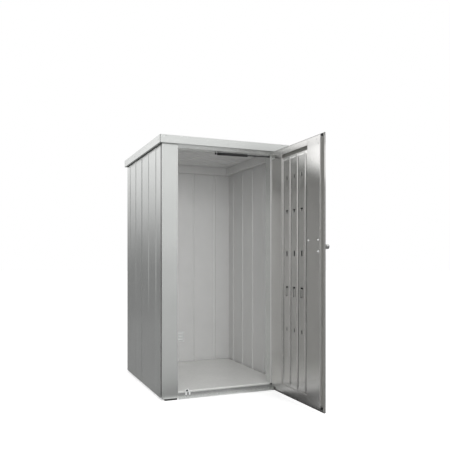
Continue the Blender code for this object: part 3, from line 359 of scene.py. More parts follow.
def sheet_across(section, low, high, outward, bends, sheet=SHEET):
    """A folded sheet from side to side: section is its line as (y, z)."""
    return folded_sheet([(low.x, y, z) for y, z in section], RIGHT * (high.x - low.x), outward, bends, sheet)


def score(shape, lines):
    """Draw straight lines across a shape, each given as a point and the direction that it is square to."""
    for spot, normal in lines:
        bmesh.ops.bisect_plane(shape, geom=shape.verts[:] + shape.edges[:] + shape.faces[:], plane_co=spot,
                               plane_no=normal, dist=1e-7)


def mark_back(shape, outward):
    """Give the faces that look away from outward the second finish."""
    shape.normal_update()
    for face in shape.faces:
        if face.normal.dot(outward) < -0.3:
            face.material_index = 1


print("a sheet is %.1f mm thick" % (SHEET * 1000))

# %% [markdown]
# ## From a shape to a piece
# A finished shape becomes an object with its finishes, and it is told which body it moves with. Openings are
# cut out of the object afterwards with a Boolean modifier, and its result is kept as the piece's mesh. So a
# hole is only as hard to make as the shape of its punch.

# %% From a shape to a piece


def as_object(name, shape, materials=()):
    """Put a shape in the scene as an object."""
    mesh = bpy.data.meshes.new(name)
    shape.to_mesh(mesh)
    shape.free()
    for material in materials:
        mesh.materials.append(material)
    thing = bpy.data.objects.new(name, mesh)
    bpy.context.scene.collection.objects.link(thing)
    return thing


def add_piece(name, shape, finish, body, stands_for=(), angle=38, backs=()):
    """Make a piece of a shape, give it its finishes and its body, and keep flat faces flat."""
    piece = as_object(name, shape, [FINISHES[own] for own in (finish, *backs)])
    piece.data.shade_smooth()
    piece.data.set_sharp_from_angle(angle=radians(angle))
    normals = piece.modifiers.new("flat faces stay flat", "WEIGHTED_NORMAL")
    normals.keep_sharp = True
    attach(piece, body)
    if stands_for:
        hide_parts(*stands_for)
    return piece


def carve(piece, cutter_shape, angle=38):
    """Cut a closed shape out of a piece and keep the result as its mesh."""
    cutter = as_object("cutter", cutter_shape)
    cut = piece.modifiers.new("cut", "BOOLEAN")
    cut.operation, cut.solver, cut.object = "DIFFERENCE", "EXACT", cutter
    normals = piece.modifiers["flat faces stay flat"]
    normals.show_viewport = False
    graph = bpy.context.evaluated_depsgraph_get()
    result = bpy.data.meshes.new_from_object(piece.evaluated_get(graph))
    piece.modifiers.remove(cut)
    normals.show_viewport = True
    piece.data = result
    result.set_sharp_from_angle(angle=radians(angle))
    bpy.data.objects.remove(cutter, do_unlink=True)


print("finishes at hand:", len(FINISHES))

# %% [markdown]
# ## Feet
# Four thin rubber pads keep the steel off the ground. Each is a moulded block with rounded corners and a soft
# upper edge, so a cube is scaled to the CAD's box and its upright edges are bevelled wide, its rims narrow.

# %% Feet


def rounded_block(one, other, corner, rim, axis=2):
    """A block between two corners, with its edges along axis rounded by corner and the others by rim."""
    low, high = (Vector([pick(pair) for pair in zip(one, other)]) for pick in (min, max))
    shape = bmesh.new()
    bmesh.ops.create_cube(shape, size=1.0)
    bmesh.ops.scale(shape, vec=high - low, verts=shape.verts)
    bmesh.ops.translate(shape, vec=(low + high) / 2, verts=shape.verts)
    along = [edge for edge in shape.edges
             if abs((edge.verts[0].co - edge.verts[1].co).normalized()[axis]) > 0.9]
    bend(shape, along, corner, flats=5, clamp=False)
    if rim:
        bend(shape, [edge for edge in shape.edges if edge.calc_face_angle() > 1.2], rim, flats=2, clamp=False)
    return shape


for corner_name in ("front_left", "front_right", "rear_left", "rear_right"):
    low, high = node_box("foot_" + corner_name)
    pad = rounded_block(low, high, 0.004, 0.0015)
    add_piece("rubber_pad_" + corner_name, pad, "black_rubber", "cabinet", ["foot_" + corner_name])
print("feet %.1f mm high" % ((high.z - low.z) * 1000))

# %% [markdown]
# ## Front pillars
# Each front pillar is one folded strip: a flange tucked behind the side wall, a wide front face, a return into
# the doorway and a flange behind. It is swept upwards. The side wall starts a finger's width behind the
# pillar's edge, and the flange lies 10 mm deep there, so a dark groove runs down between the two.

# %% Front pillars
PILLAR_STEP = 0.012
PILLAR_TUCK = 0.010
PILLAR_FLANGE = 0.075
PILLAR_BACK = 0.084
PILLAR_BEND = 0.0013
TUCK_BEND = 0.0006
SHADOW_GAP = 0.022
pillar_rear = left_pillar[1].y
pillar_line = [
    (HALF_WIDTH - PILLAR_TUCK, FRONT + PILLAR_FLANGE),
    (HALF_WIDTH - PILLAR_TUCK, FRONT + PILLAR_STEP + SHEET),
    (HALF_WIDTH, FRONT + PILLAR_STEP),
    (HALF_WIDTH, FRONT),
    (OPENING, FRONT),
    (OPENING, pillar_rear),
    (OPENING + PILLAR_BACK, pillar_rear),
]
for side_name, side in SIDES:
    pillar = upright_sheet([(side * x, y) for x, y in pillar_line], BODY_BOTTOM, BODY_TOP, FORWARD,
                           [TUCK_BEND] * 2 + [PILLAR_BEND] * 3)
    add_piece("folded_pillar_" + side_name, pillar, "silver_paint", "cabinet", ["pillar_front_" + side_name])
print("pillars %.3f m high" % (BODY_TOP - BODY_BOTTOM))

# %% [markdown]
# ## Beaded walls
# Thin sheet needs stiffening, so a press has rolled upright V-shaped beads into it, 203 mm apart and 8 mm deep
# towards the inside. A wall is two sheets: the first ends in a strip that lies under the second, just past the
# middle bead. Seen from outside a bead is a thin dark line with a bright flank. It is drawn in the folded
# line itself: each bead is three more corners with small bends.

# %% Walls
BEAD_PITCH = 0.203
FIRST_SIDE_BEAD, FIRST_REAR_BEAD = 0.160, 0.198
BEAD_HALF = 0.012
BEAD_DEPTH = 0.008
BEAD_BEND = 0.0022
LAP = 0.0013
LAP_LENGTH = 0.018


def bead_corners(bead):
    """Three corners of one bead, as (place along the wall, depth)."""
    return [(bead - BEAD_HALF, 0), (bead, BEAD_DEPTH), (bead + BEAD_HALF, 0)]


def wall_lines(start, end, beads):
    """The folded lines of the first and the second sheet, as (place along the wall, depth)."""
    middle = len(beads) // 2
    seam = beads[middle] + BEAD_HALF
    first = [(start, 0)]
    for bead in beads[:middle + 1]:
        first += bead_corners(bead)
    first[-1] = (seam, LAP)
    first.append((seam + LAP_LENGTH, LAP))
    second = [(seam, 0)]
    for bead in beads[middle + 1:]:
        second += bead_corners(bead)
    second.append((end, 0))
    return first, second


def add_wall(name, line, place_of, outward, node):
    """Sweep one wall sheet upwards. place_of turns (place, depth) into a point on the ground plan."""
    sheet = upright_sheet([place_of(*point) for point in line], BODY_BOTTOM, BODY_TOP, outward, BEAD_BEND)
    mark_back(sheet, outward)
    return add_piece(name, sheet, "silver_paint", "cabinet", [node], backs=["light_backing"])


SIDE_START = FRONT + PILLAR_STEP + SHADOW_GAP
side_beads = [FRONT + FIRST_SIDE_BEAD + BEAD_PITCH * number for number in range(5)]
for side_name, side in SIDES:
    for end_name, line in zip(("front", "rear"), wall_lines(SIDE_START, REAR, side_beads)):
        add_wall("beaded_wall_%s_%s" % (side_name, end_name), line,
                 lambda along, depth: (side * (HALF_WIDTH - depth), along), RIGHT * side,
                 "wall_%s_%s" % (side_name, end_name))

rear_beads = [-HALF_WIDTH + FIRST_REAR_BEAD + BEAD_PITCH * number for number in range(4)]
rear_start, rear_end = node_box("wall_rear_left")[0].x, node_box("wall_rear_right")[1].x
rear_walls = []
for side_name, line in zip(("left", "right"), wall_lines(rear_start, rear_end, rear_beads)):
    rear_walls.append(add_wall("beaded_wall_rear_" + side_name, line,
                               lambda along, depth: (along, REAR - depth), BACK, "wall_rear_" + side_name))
print("beads: %d a side, %d behind" % (len(side_beads), len(rear_beads)))

# %% [markdown]
# ## Vent
# Low in the rear wall a small louvred plate lets damp air out. A louvre is a slit whose lower lip has been
# pushed in into a scoop. So the plate is a face that is cut along straight lines, each slit is opened by
# splitting its upper edge, and the middle of that edge is moved in. The ends then slope down to the plate by
# themselves, as pressed ones do.

# %% Vent
vent_low, vent_high = node_box("vent_louvre")
HOOD, HOOD_END, HOOD_RISE, HOOD_DROP = 0.010, 0.007, 0.014, 0.010
VENT_PITCH, VENT_MARGIN, VENT_LAP = 0.0275, 0.012, 0.006
NEAR = 1e-5
plate_y = REAR - SHEET - HAIR - SHEET
vent_middle = (vent_low + vent_high) / 2
slit_start, slit_end = vent_low.x + VENT_MARGIN, vent_high.x - VENT_MARGIN
vent = bmesh.new()
bmesh.ops.create_grid(vent, x_segments=1, y_segments=1, size=0.5)
bmesh.ops.scale(vent, vec=(vent_high.x - vent_low.x, vent_high.z - vent_low.z, 1), verts=vent.verts)
bmesh.ops.rotate(vent, matrix=Matrix.Rotation(pi / 2, 3, "X"), verts=vent.verts)
bmesh.ops.translate(vent, vec=(vent_middle.x, plate_y, vent_middle.z), verts=vent.verts)
hood_feet = [vent_middle.z + number * VENT_PITCH - HOOD_DROP for number in (-1, 0, 1)]
score(vent, [(RIGHT * x, LEFT) for x in (slit_start, slit_start + HOOD_END, slit_end - HOOD_END, slit_end)])
for foot in hood_feet:
    score(vent, [(UP * height, UP) for height in (foot, foot + HOOD_RISE / 2, foot + HOOD_RISE)])
for foot in hood_feet:
    waist, mouth = foot + HOOD_RISE / 2, foot + HOOD_RISE
    upper = [edge for edge in vent.edges
             if all(abs(corner.co.z - mouth) < NEAR and slit_start - NEAR < corner.co.x < slit_end + NEAR
                    for corner in edge.verts)]
    bmesh.ops.split_edges(vent, edges=upper)
    for corner in vent.verts:
        inside = slit_start + HOOD_END - NEAR < corner.co.x < slit_end - HOOD_END + NEAR
        below = any(face.calc_center_median().z < mouth for face in corner.link_faces)
        if inside and below and abs(corner.co.z - mouth) < NEAR:
            corner.co.y -= HOOD
        if inside and abs(corner.co.z - waist) < NEAR:
            corner.co.y -= HOOD * 0.75
thicken(vent, FORWARD, SHEET * 0.9)
add_piece("pressed_vent", vent, "white_zinc", "cabinet", ["vent_louvre"], angle=50)
hole = rounded_block((vent_low.x + VENT_LAP, REAR - 0.02, vent_low.z + VENT_LAP),
                     (vent_high.x - VENT_LAP, REAR + 0.02, vent_high.z - VENT_LAP), 0.003, 0, axis=1)
carve(rear_walls[0], hole)
print("vent with %d hoods" % len(hood_feet))

# %% [markdown]
# ## Rails and posts
# The frame behind the walls is plain channel and angle. A channel is the same folded strip with two bends, so
# one small table of corners serves for every side. Rails that the eye meets from inside are coated, the ones
# below the floor stay bare zinc.

# %% Channels
RAIL_BEND = 0.0012
CHANNEL_START, CHANNEL_END = 0.010, 0.045
POST_INSET, POST_LEG = 0.0016, 0.050


def add_channel(node, side, finish, open_inside):
    """A channel along one wall. side is left, right or rear, and the open side faces in or out."""
    low, high = node_box(node)
    near, far = (CHANNEL_END, CHANNEL_START) if open_inside else (CHANNEL_START, CHANNEL_END)
    profile = [(near, high.z), (far, high.z), (far, low.z), (near, low.z)]
    if side == "rear":
        corners = [(low.x, REAR - reach, height) for reach, height in profile]
        run, outward = RIGHT * (high.x - low.x), BACK
    else:
        sign = dict(SIDES)[side]
        corners = [(sign * (HALF_WIDTH - reach), low.y, height) for reach, height in profile]
        run, outward = BACK * (high.y - low.y), RIGHT * sign
    if not open_inside:
        outward = -outward
    shape, folds = swept_strip(corners, run)
    bend(shape, folds, RAIL_BEND)
    bmesh.ops.recalc_face_normals(shape, faces=shape.faces)
    web = max(shape.faces, key=lambda face: abs(face.normal.dot(outward)) * face.calc_area())
    if web.normal.dot(outward) < 0:
        bmesh.ops.reverse_faces(shape, faces=shape.faces)
    bmesh.ops.solidify(shape, geom=shape.faces[:], thickness=SHEET)
    add_piece("channel_" + node, shape, finish, "cabinet", [node])


for side in ("left", "right", "rear"):
    add_channel("base_rail_" + side, side, "galvanised", True)
    add_channel("top_rail_" + side, side, "light_backing", False)

for side_name, side in SIDES:
    low, high = node_box("corner_post_rear_" + side_name)
    post_x, post_y = side * (HALF_WIDTH - POST_INSET), REAR - POST_INSET
    plan = [(post_x - side * POST_LEG, post_y), (post_x, post_y), (post_x, post_y - POST_LEG)]
    post = upright_sheet(plan, low.z, high.z, Vector((side, 1, 0)), RAIL_BEND)
    add_piece("angle_post_" + side_name, post, "light_backing", "cabinet", ["corner_post_rear_" + side_name])

# %% [markdown]
# ## Turned parts
# Pins, bushes and the gas strut are turned on a lathe, and the round holes are drilled. Half of the
# cross-section is drawn as a line of points and spun round an axis, which is what the lathe does. The shape is
# made upright and then placed where it belongs.

# %% Turned parts


def turned(profile, steps=32):
    """Spin (place along Z, radius) points round Z into a closed shape."""
    shape = bmesh.new()
    line = [shape.verts.new((radius, 0, along)) for along, radius in profile]
    edges = [shape.edges.new(pair) for pair in zip(line, line[1:])]
    bmesh.ops.spin(shape, geom=line + edges, cent=(0, 0, 0), axis=(0, 0, 1), angle=2 * pi, steps=steps,
                   use_merge=True)
    bmesh.ops.remove_doubles(shape, verts=shape.verts, dist=1e-6)
    bmesh.ops.recalc_face_normals(shape, faces=shape.faces)
    return shape


def placed(shape, spot, facing=UP):
    """Move a shape that was made along Z so that it stands at spot and faces another way."""
    turn = UP.rotation_difference(facing).to_matrix().to_4x4()
    bmesh.ops.transform(shape, matrix=Matrix.Translation(spot) @ turn, verts=shape.verts)
    return shape


def bore(radius, half_length, spot):
    """A closed upright cylinder round spot, to cut with."""
    return placed(turned([(-half_length, 0), (-half_length, radius), (half_length, radius), (half_length, 0)]),
                  spot)


print("a full turn has 32 steps")

# %% [markdown]
# ## Sill and header
# Two folded strips close the frame below and above the doorway. The sill steps forward into a low lip that
# carries the door's lower pivot, and the lower part of the header leans in a little. Both are swept from side
# to side, and each has a hole that a lock rod drops or rises into.

# %% Sill, header and their holes for the lock rods
SILL_DEPTH, SILL_FLANGE, LIP_TOP = 0.060, 0.028, 0.0145
HEADER_LEAN, HEADER_SLANT = 0.028, 0.0065
ROD_HOLE, ROD_LINE = 0.0068, 0.008
bush_low, bush_high = node_box("strike_bush_bottom")
strike = Vector(((bush_low.x + bush_high.x) / 2, FRONT + ROD_LINE, 0))
sill_low, sill_high = node_box("base_rail_front")
sill_line = [(FRONT + SILL_DEPTH, sill_high.z - SILL_FLANGE), (FRONT + SILL_DEPTH, sill_high.z),
             (FRONT, sill_high.z), (FRONT, LIP_TOP), (sill_low.y, LIP_TOP), (sill_low.y, sill_low.z)]
sill = add_piece("folded_sill", sheet_across(sill_line, sill_low, sill_high, UP, TIGHT_BEND), "silver_paint",
                 "cabinet", ["base_rail_front"])
carve(sill, bore(ROD_HOLE, 0.010, (strike.x, strike.y, sill_high.z)))

head_low, head_high = node_box("top_rail_front")
head_line = [(FRONT, head_high.z), (FRONT, head_low.z + HEADER_LEAN), (FRONT + HEADER_SLANT, head_low.z),
             (head_high.y, head_low.z), (head_high.y, head_high.z)]
header = add_piece("folded_header", sheet_across(head_line, head_low, head_high, FORWARD, TIGHT_BEND),
                   "silver_paint", "cabinet", ["top_rail_front"])
carve(header, bore(ROD_HOLE, 0.010, (strike.x, strike.y, head_low.z)))
print("sill %.1f mm high, header %.1f mm" % (sill_high.z * 1000, (head_high.z - head_low.z) * 1000))

# %% [markdown]
# ## Floor
# One plain sheet lies on the rails, cut out round the front pillars, with its front edge folded down. It
# starts as a single flat face with eight corners. The front edge is extruded down and the fold is bevelled.

# %% Floor
floor_low, floor_high = node_box("floor_plate")
FLOOR_GAP, FLOOR_SHEET = 0.0008, 0.0014
throat, notch_y = OPENING - FLOOR_GAP, pillar_rear + FLOOR_GAP
outline = [(-throat, floor_low.y), (throat, floor_low.y), (throat, notch_y), (floor_high.x, notch_y),
           (floor_high.x, floor_high.y), (floor_low.x, floor_high.y), (floor_low.x, notch_y),
           (-throat, notch_y)]
plain = bmesh.new()
plain.faces.new([plain.verts.new((x, y, floor_high.z)) for x, y in outline])
front_edge = [edge for edge in plain.edges if all(corner.co.y < floor_low.y + 1e-6 for corner in edge.verts)]
pull(plain, front_edge, -UP * (floor_high.z - floor_low.z))
bend(plain, front_edge, TIGHT_BEND)
thicken(plain, UP, FLOOR_SHEET)
add_piece("floor_sheet", plain, "floor_zinc", "cabinet", ["floor_plate"])
print("floor %.3f x %.3f m" % (floor_high.x - floor_low.x, floor_high.y - floor_low.y))

# %% [markdown]
# ## Roof
# The roof is a zinc sheet with flat-topped ribs from side to side, held in a frame of four folded channels that
# meet in mitres. The channels are swept straight and then their ends are sheared to 45 degrees: each corner
# moves along by as much as it lies inside the outer face. A real mitre never closes quite. The outer faces stop
# 3.5 mm short, and a black key in each corner, which holds the channels, fills the gap with painted shade, so
# it shows as a fine dark seam.

# %% Roof
roof_low, roof_high = node_box("roof_sheet")
RIB_PITCH, RIB_HEIGHT, RIB_FOOT, RIB_CREST = 0.120, 0.010, 0.040, 0.024
rib_count = int((roof_high.y - roof_low.y) / RIB_PITCH)
margin = (roof_high.y - roof_low.y - (rib_count - 1) * RIB_PITCH) / 2
valley, crest = roof_low.z + SHEET, roof_low.z + RIB_HEIGHT + SHEET
deck_line = [(roof_low.y, valley)]
for number in range(rib_count):
    rib = roof_low.y + margin + number * RIB_PITCH
    deck_line += [(rib - RIB_FOOT / 2, valley), (rib - RIB_CREST / 2, crest), (rib + RIB_CREST / 2, crest),
                  (rib + RIB_FOOT / 2, valley)]
deck_line.append((roof_high.y, valley))
deck = sheet_across(deck_line, roof_low, roof_high, UP, WIDE_BEND)
mark_back(deck, UP)
add_piece("ribbed_roof", deck, "galvanised", "cabinet", ["roof_sheet"], backs=["light_backing"])
print("%d ribs" % rib_count)

# %% The roof's edge
SEAM = 0.0035
SCREW_RISE = 0.0013
EDGE_LIP_TOP, EDGE_LIP_BOTTOM, EDGE_BEND = 0.0185, 0.0125, 0.0022
KEY_SIZE, KEY_INSET, KEY_SETBACK = 0.010, 0.0015, 0.0013


def edge_channel(half_length, top, bottom):
    """One channel of the roof's edge along X, its outer face at y 0, mitred at both ends."""
    section = [(EDGE_LIP_TOP, top), (0, top), (0, bottom), (EDGE_LIP_BOTTOM, bottom)]
    shape, folds = swept_strip([(-half_length, y, z) for y, z in section], RIGHT * 2 * half_length)
    for corner in shape.verts:
        inward = corner.co.y + SEAM
        corner.co.x += -inward if corner.co.x > 0 else inward
    bend(shape, folds, EDGE_BEND)
    thicken(shape, FORWARD)
    return shape


fascia_low, fascia_high = node_box("roof_fascia_front")
edge_x, edge_front = fascia_high.x - SCREW_RISE, fascia_low.y
edge_rear = node_box("roof_fascia_rear")[1].y - SCREW_RISE
edge_middle, edge_half = (edge_front + edge_rear) / 2, (edge_rear - edge_front) / 2
for name, half, turn, spot in (("front", edge_x, 0, (0, edge_front, 0)),
                               ("rear", edge_x, pi, (0, edge_rear, 0)),
                               ("left", edge_half, -pi / 2, (-edge_x, edge_middle, 0)),
                               ("right", edge_half, pi / 2, (edge_x, edge_middle, 0))):
    channel = edge_channel(half, fascia_high.z, fascia_low.z)
    bmesh.ops.transform(channel, matrix=Matrix.Translation(spot) @ Matrix.Rotation(turn, 4, "Z"),
                        verts=channel.verts)
    add_piece("roof_edge_" + name, channel, "roof_paint", "cabinet", ["roof_fascia_" + name])
# Each black key sits in a mitre's gap as painted shade, so the seam reads dark
for end_name, end_y, into in (("front", edge_front, 1), ("rear", edge_rear, -1)):
    for side_name, side in SIDES:
        inward = Vector((-side, into, 0))
        outer = Vector((side * edge_x, end_y, fascia_low.z + KEY_INSET)) + inward * KEY_SETBACK
        inner = outer + inward * KEY_SIZE
        inner.z = fascia_high.z - KEY_INSET
        add_piece("seam_shade_key_%s_%s" % (end_name, side_name), rounded_block(outer, inner, 0.001, 0.0005),
                  "black_nylon", "cabinet")
print("roof edge %.3f x %.3f m" % (2 * edge_x, edge_rear - edge_front))

# %% [markdown]
# ## The door's own directions
# The door is easier to think about shut. A reach runs from the pivot to the free edge, and a face runs inwards.
# The door stands open at a right angle, so reach points to -Y and face to -X. One function turns a place on the
# shut door into a point of the open one.

# %% Door places
PIVOT = Vector((*JOINTS["door_swing"]["pos_m"][:2], 0))
INWARD, ALONG = LEFT, FORWARD


def on_door(reach, face, height):
    """World point of a place on the door."""
    return PIVOT + ALONG * reach + INWARD * face + UP * height


skin_low, skin_high = node_box("door_skin")
DOOR_REACH = PIVOT.y - skin_low.y
DOOR_LOW, DOOR_HIGH = skin_low.z, skin_high.z
box_low, box_high = node_box("door_stile_hinge")
BOX_LOW, BOX_HIGH = box_low.z, box_high.z
lock_low, lock_high = node_box("door_stile_lock")
BOX_START, HINGE_END = PIVOT.y - box_high.y, PIVOT.y - box_low.y
LOCK_START, BOX_END = PIVOT.y - lock_high.y, PIVOT.y - lock_low.y
BOX_FACE, BOX_REAR = PIVOT.x - lock_low.x, PIVOT.x - lock_high.x
print("door reach %.4f, box %.4f to %.4f, face %.4f" % (DOOR_REACH, BOX_START, BOX_END, BOX_FACE))

# %% [markdown]
# ## Door skin
# The outer sheet is a shallow tray: a flat face with an 11 mm return on three edges and a 4 mm one on top. It
# starts as one rectangle whose edges are extruded inwards, then every fold is bevelled. The hinge corners are
# cut out for the pivot blocks. The tray has several finishes, so lines are drawn across it where they meet. Its
# back carries painted shade: near black behind the liner's slots and inside the bottom return, grey behind the
# rest of the box and past its free end. Beside the box it is coated.

# %% Door skin
SKIN_FACE, SKIN_BACK, SKIN_START, SKIN_BEND = -0.006, 0.005, -0.0035, 0.0022
TOP_CUT = 0.007
BOX_LAP = 0.005
# How far the painted shade on the back reaches past the liner towards the hinge, and how far it stays below the
# liner's top
DARK_OVER, DARK_UNDER = 0.05, 0.003
NOTCH_HEIGHT, NOTCH_PAST = 0.0271, 0.005
NOTCH_CORNERS = ((0.0035, -0.0047), (-0.012, 0.010))
# The third and the fourth finish are the painted shade on the tray's back
TRAY_FINISHES = ("silver_paint", "light_backing", "painted_shade_backing", "grey_backing", "door_paint")
COAT, LIGHT, DARK_SHADE, GREY_SHADE, DOOR_COAT = range(5)


def door_panel(start, end, low, high, face):
    """A flat rectangle on the door, as a shape of one face."""
    shape = bmesh.new()
    corners = ((start, low), (end, low), (end, high), (start, high))
    shape.faces.new([shape.verts.new(on_door(reach, face, height)) for reach, height in corners])
    return shape


def tray_finish(face):
    """Which of the tray's finishes a face has. The dark and the grey one are painted shade."""
    middle = face.calc_center_median()
    reach = PIVOT.y - middle.y
    if face.normal.dot(INWARD) > 0.3:
        # Painted shade: near black behind the slots, grey behind the box and past its free end
        if SLOTTED[0] < reach < SLOTTED[1] and SLOTTED[2] < middle.z < SLOTTED[3]:
            return DARK_SHADE
        behind_box = BOX_START < reach < BOX_END and BOX_LOW < middle.z < BOX_HIGH
        return GREY_SHADE if behind_box or reach > BOX_END else DOOR_COAT
    if face.normal.dot(INWARD) < -0.3:
        return COAT
    to_middle = Vector((0, PIVOT.y - DOOR_REACH / 2 - middle.y, (DOOR_LOW + DOOR_HIGH) / 2 - middle.z))
    if face.normal.dot(to_middle) < 0.1:
        return DOOR_COAT
    # The inside of the bottom return gets the near-black painted shade
    return DARK_SHADE if middle.z < BOX_LOW else LIGHT


tray = door_panel(SKIN_START, DOOR_REACH, DOOR_LOW, DOOR_HIGH, SKIN_FACE)
pull(tray, tray.edges[:], INWARD * (SKIN_BACK - SKIN_FACE))
bend(tray, [edge for edge in tray.edges if len(edge.link_faces) == 2], SKIN_BEND)
liner_low, liner_high = node_box("door_liner")
SLOTTED = (PIVOT.y - liner_high.y - DARK_OVER, PIVOT.y - liner_low.y,
           liner_low.z, liner_high.z - DARK_UNDER)
score(tray, [(on_door(reach, 0, 0), ALONG)
             for reach in (BOX_START + BOX_LAP, BOX_END - BOX_LAP, SLOTTED[0], SLOTTED[1])])
score(tray, [(UP * height, UP) for height in (BOX_LOW + BOX_LAP, BOX_HIGH - BOX_LAP, SLOTTED[2], SLOTTED[3])])
top_rim = [corner for corner in tray.verts
           if corner.co.z > BOX_HIGH + BOX_LAP and abs(corner.co.x - PIVOT.x + SKIN_BACK) < 0.0005]
bmesh.ops.translate(tray, vec=-INWARD * TOP_CUT, verts=top_rim)
thicken(tray, -INWARD)
tray.normal_update()
for face in tray.faces:
    face.material_index = tray_finish(face)
skin = add_piece("door_tray", tray, TRAY_FINISHES[COAT], "door", ["door_skin"], backs=TRAY_FINISHES[LIGHT:])
for low in (DOOR_LOW - NOTCH_PAST, DOOR_HIGH - NOTCH_HEIGHT):
    outer, inner = NOTCH_CORNERS
    notch = rounded_block(on_door(*outer, low), on_door(*inner, low + NOTCH_HEIGHT + NOTCH_PAST), 0.0005, 0)
    carve(skin, notch)
print("door tray %.3f x %.3f m" % (DOOR_REACH - SKIN_START, DOOR_HIGH - DOOR_LOW))

# %% [markdown]
# ## Door frame
# Behind the skin two stiles and two rails make a stiff box. They are channels too. The hinge stile steps back
# by 5 mm near the pivot, and that step is what shows as the narrow bright strip beside the hinge.

# %% Stiles and rails
STEP_DEPTH, STRIP_WIDTH, STRIP_SLOPE = 0.005, 0.054, 0.003
STILE_BEND, STEP_BEND = 0.002, 0.0015


def door_channel(name, node, line, run, bends):
    """A folded channel on the door, from a line of door places."""
    sheet = folded_sheet([on_door(*spot) for spot in line], run, INWARD, bends)
    return add_piece(name, sheet, "door_paint", "door", [node])


STEP = BOX_FACE - STEP_DEPTH
tall = UP * (BOX_HIGH - BOX_LOW)
hinge_line = [(BOX_START, BOX_REAR), (BOX_START, STEP), (BOX_START + STRIP_WIDTH, STEP),
              (BOX_START + STRIP_WIDTH + STRIP_SLOPE, BOX_FACE), (HINGE_END, BOX_FACE), (HINGE_END, BOX_REAR)]
door_channel("hinge_stile", "door_stile_hinge", [(*spot, BOX_LOW) for spot in hinge_line], tall,
             [STILE_BEND, STEP_BEND, STEP_BEND, STILE_BEND])
lock_line = [(LOCK_START, BOX_REAR), (LOCK_START, BOX_FACE), (BOX_END, BOX_FACE), (BOX_END, BOX_REAR)]
door_channel("lock_stile", "door_stile_lock", [(*spot, BOX_LOW) for spot in lock_line], tall, STILE_BEND)
rail_start, rail_end = HINGE_END + HAIR, LOCK_START - HAIR
for name in ("top", "bottom"):
    low, high = node_box("door_rail_" + name)
    rail_line = [(rail_start, BOX_REAR, low.z), (rail_start, BOX_FACE, low.z), (rail_start, BOX_FACE, high.z),
                 (rail_start, BOX_REAR, high.z)]
    door_channel(name + "_door_rail", "door_rail_" + name, rail_line, ALONG * (rail_end - rail_start),
                 STILE_BEND)
print("stiles %.3f m and %.3f m wide" % (HINGE_END - BOX_START, BOX_END - LOCK_START))

# %% [markdown]
# ## Door liner
# The inner sheet carries tools on hooks. Four ridges are pressed towards the inside and run out flat near both
# ends, and between them are rows of slots in several shapes. The press only moves metal, so the ridges are
# made that way: lines are drawn across a flat sheet, and the ones on each crest are lifted 5 mm. The bevel
# softens the creases. A narrow slit beside each ridge lets the press stretch the metal and shows as a dark
# line, since the painted shade on the skin's back shows through it. The slits and the slots are punched last.

# %% Liner
LINER_START, LINER_END = PIVOT.y - liner_high.y, PIVOT.y - liner_low.y
LINER_LOW, LINER_HIGH = liner_low.z, liner_high.z
LINER_FACE = BOX_FACE - 0.0055
LINER_CREASE = 42
RIDGE_PITCH, FIRST_RIDGE, FIRST_SLOT = 0.1005, 0.0115, 0.0675
RIDGE_HEIGHT, RIDGE_FOOT, RIDGE_CREST, RIDGE_SETBACK, RIDGE_RUN = 0.005, 0.014, 0.005, 0.011, 0.010
ridges = [LINER_START + FIRST_RIDGE + RIDGE_PITCH * number for number in range(4)]
liner = door_panel(LINER_START, LINER_END, LINER_LOW, LINER_HIGH, LINER_FACE)
for ridge in ridges:
    score(liner, [(on_door(ridge + offset, 0, 0), ALONG)
                  for offset in (-RIDGE_FOOT / 2, -RIDGE_CREST / 2, RIDGE_CREST / 2, RIDGE_FOOT / 2)])
for end, way in ((LINER_LOW, 1), (LINER_HIGH, -1)):
    score(liner, [(UP * (end + way * inset), UP) for inset in (RIDGE_SETBACK, RIDGE_SETBACK + RIDGE_RUN)])
whole_height = RIDGE_SETBACK + RIDGE_RUN - NEAR
for corner in liner.verts:
    reach = PIVOT.y - corner.co.y
    on_crest = any(abs(reach - ridge) < RIDGE_CREST / 2 + NEAR for ridge in ridges)
    if on_crest and LINER_LOW + whole_height < corner.co.z < LINER_HIGH - whole_height:
        corner.co += INWARD * RIDGE_HEIGHT
creases = [edge for edge in liner.edges if len(edge.link_faces) == 2 and edge.calc_face_angle() > 0.15]
bend(liner, creases, 0.0012, flats=2)
thicken(liner, INWARD)
liner_piece = add_piece("pressed_liner", liner, "door_paint", "door", ["door_liner"], angle=LINER_CREASE)
print("liner %.3f x %.3f m" % (LINER_END - LINER_START, LINER_HIGH - LINER_LOW))

# %% Slots and slits
SLIT_WIDTH, SLIT_GAP, SLIT_SETBACK = 0.0055, 0.0006, 0.022
PUNCH_REACH, PUNCH_CORNER = 0.010, 0.0025


def punch(start, end, low, high):
    """Cut one rounded opening through the liner."""
    tool = rounded_block(on_door(end, LINER_FACE + PUNCH_REACH, low),
                         on_door(start, LINER_FACE - PUNCH_REACH, high), PUNCH_CORNER, 0, axis=0)
    carve(liner_piece, tool, angle=LINER_CREASE)


# A slot is one opening or several: middle of each from the slot's own, width and height
SLIT = [(0, 0, 0.010, 0.026)]
LONG = [(0, 0.029, 0.030, 0.011), (-0.0125, -0.004, 0.006, 0.060), (0.0125, -0.004, 0.006, 0.060),
        (-0.009, -0.031, 0.013, 0.007)]
TALL = [(0, 0, 0.014, 0.036)]
WIDE = [(0, 0, 0.030, 0.009), (0, -0.011, 0.010, 0.014)]
ROWS = ((0.2496, SLIT), (0.4132, LONG), (0.5773, TALL), (0.7641, WIDE), (0.9065, SLIT))
for number in range(3):
    column = LINER_START + FIRST_SLOT + RIDGE_PITCH * number
    for share, openings in ROWS:
        row = LINER_LOW + share * (LINER_HIGH - LINER_LOW)
        for aside, above, width, length in openings:
            punch(column + aside - width / 2, column + aside + width / 2,
                  row + above - length / 2, row + above + length / 2)
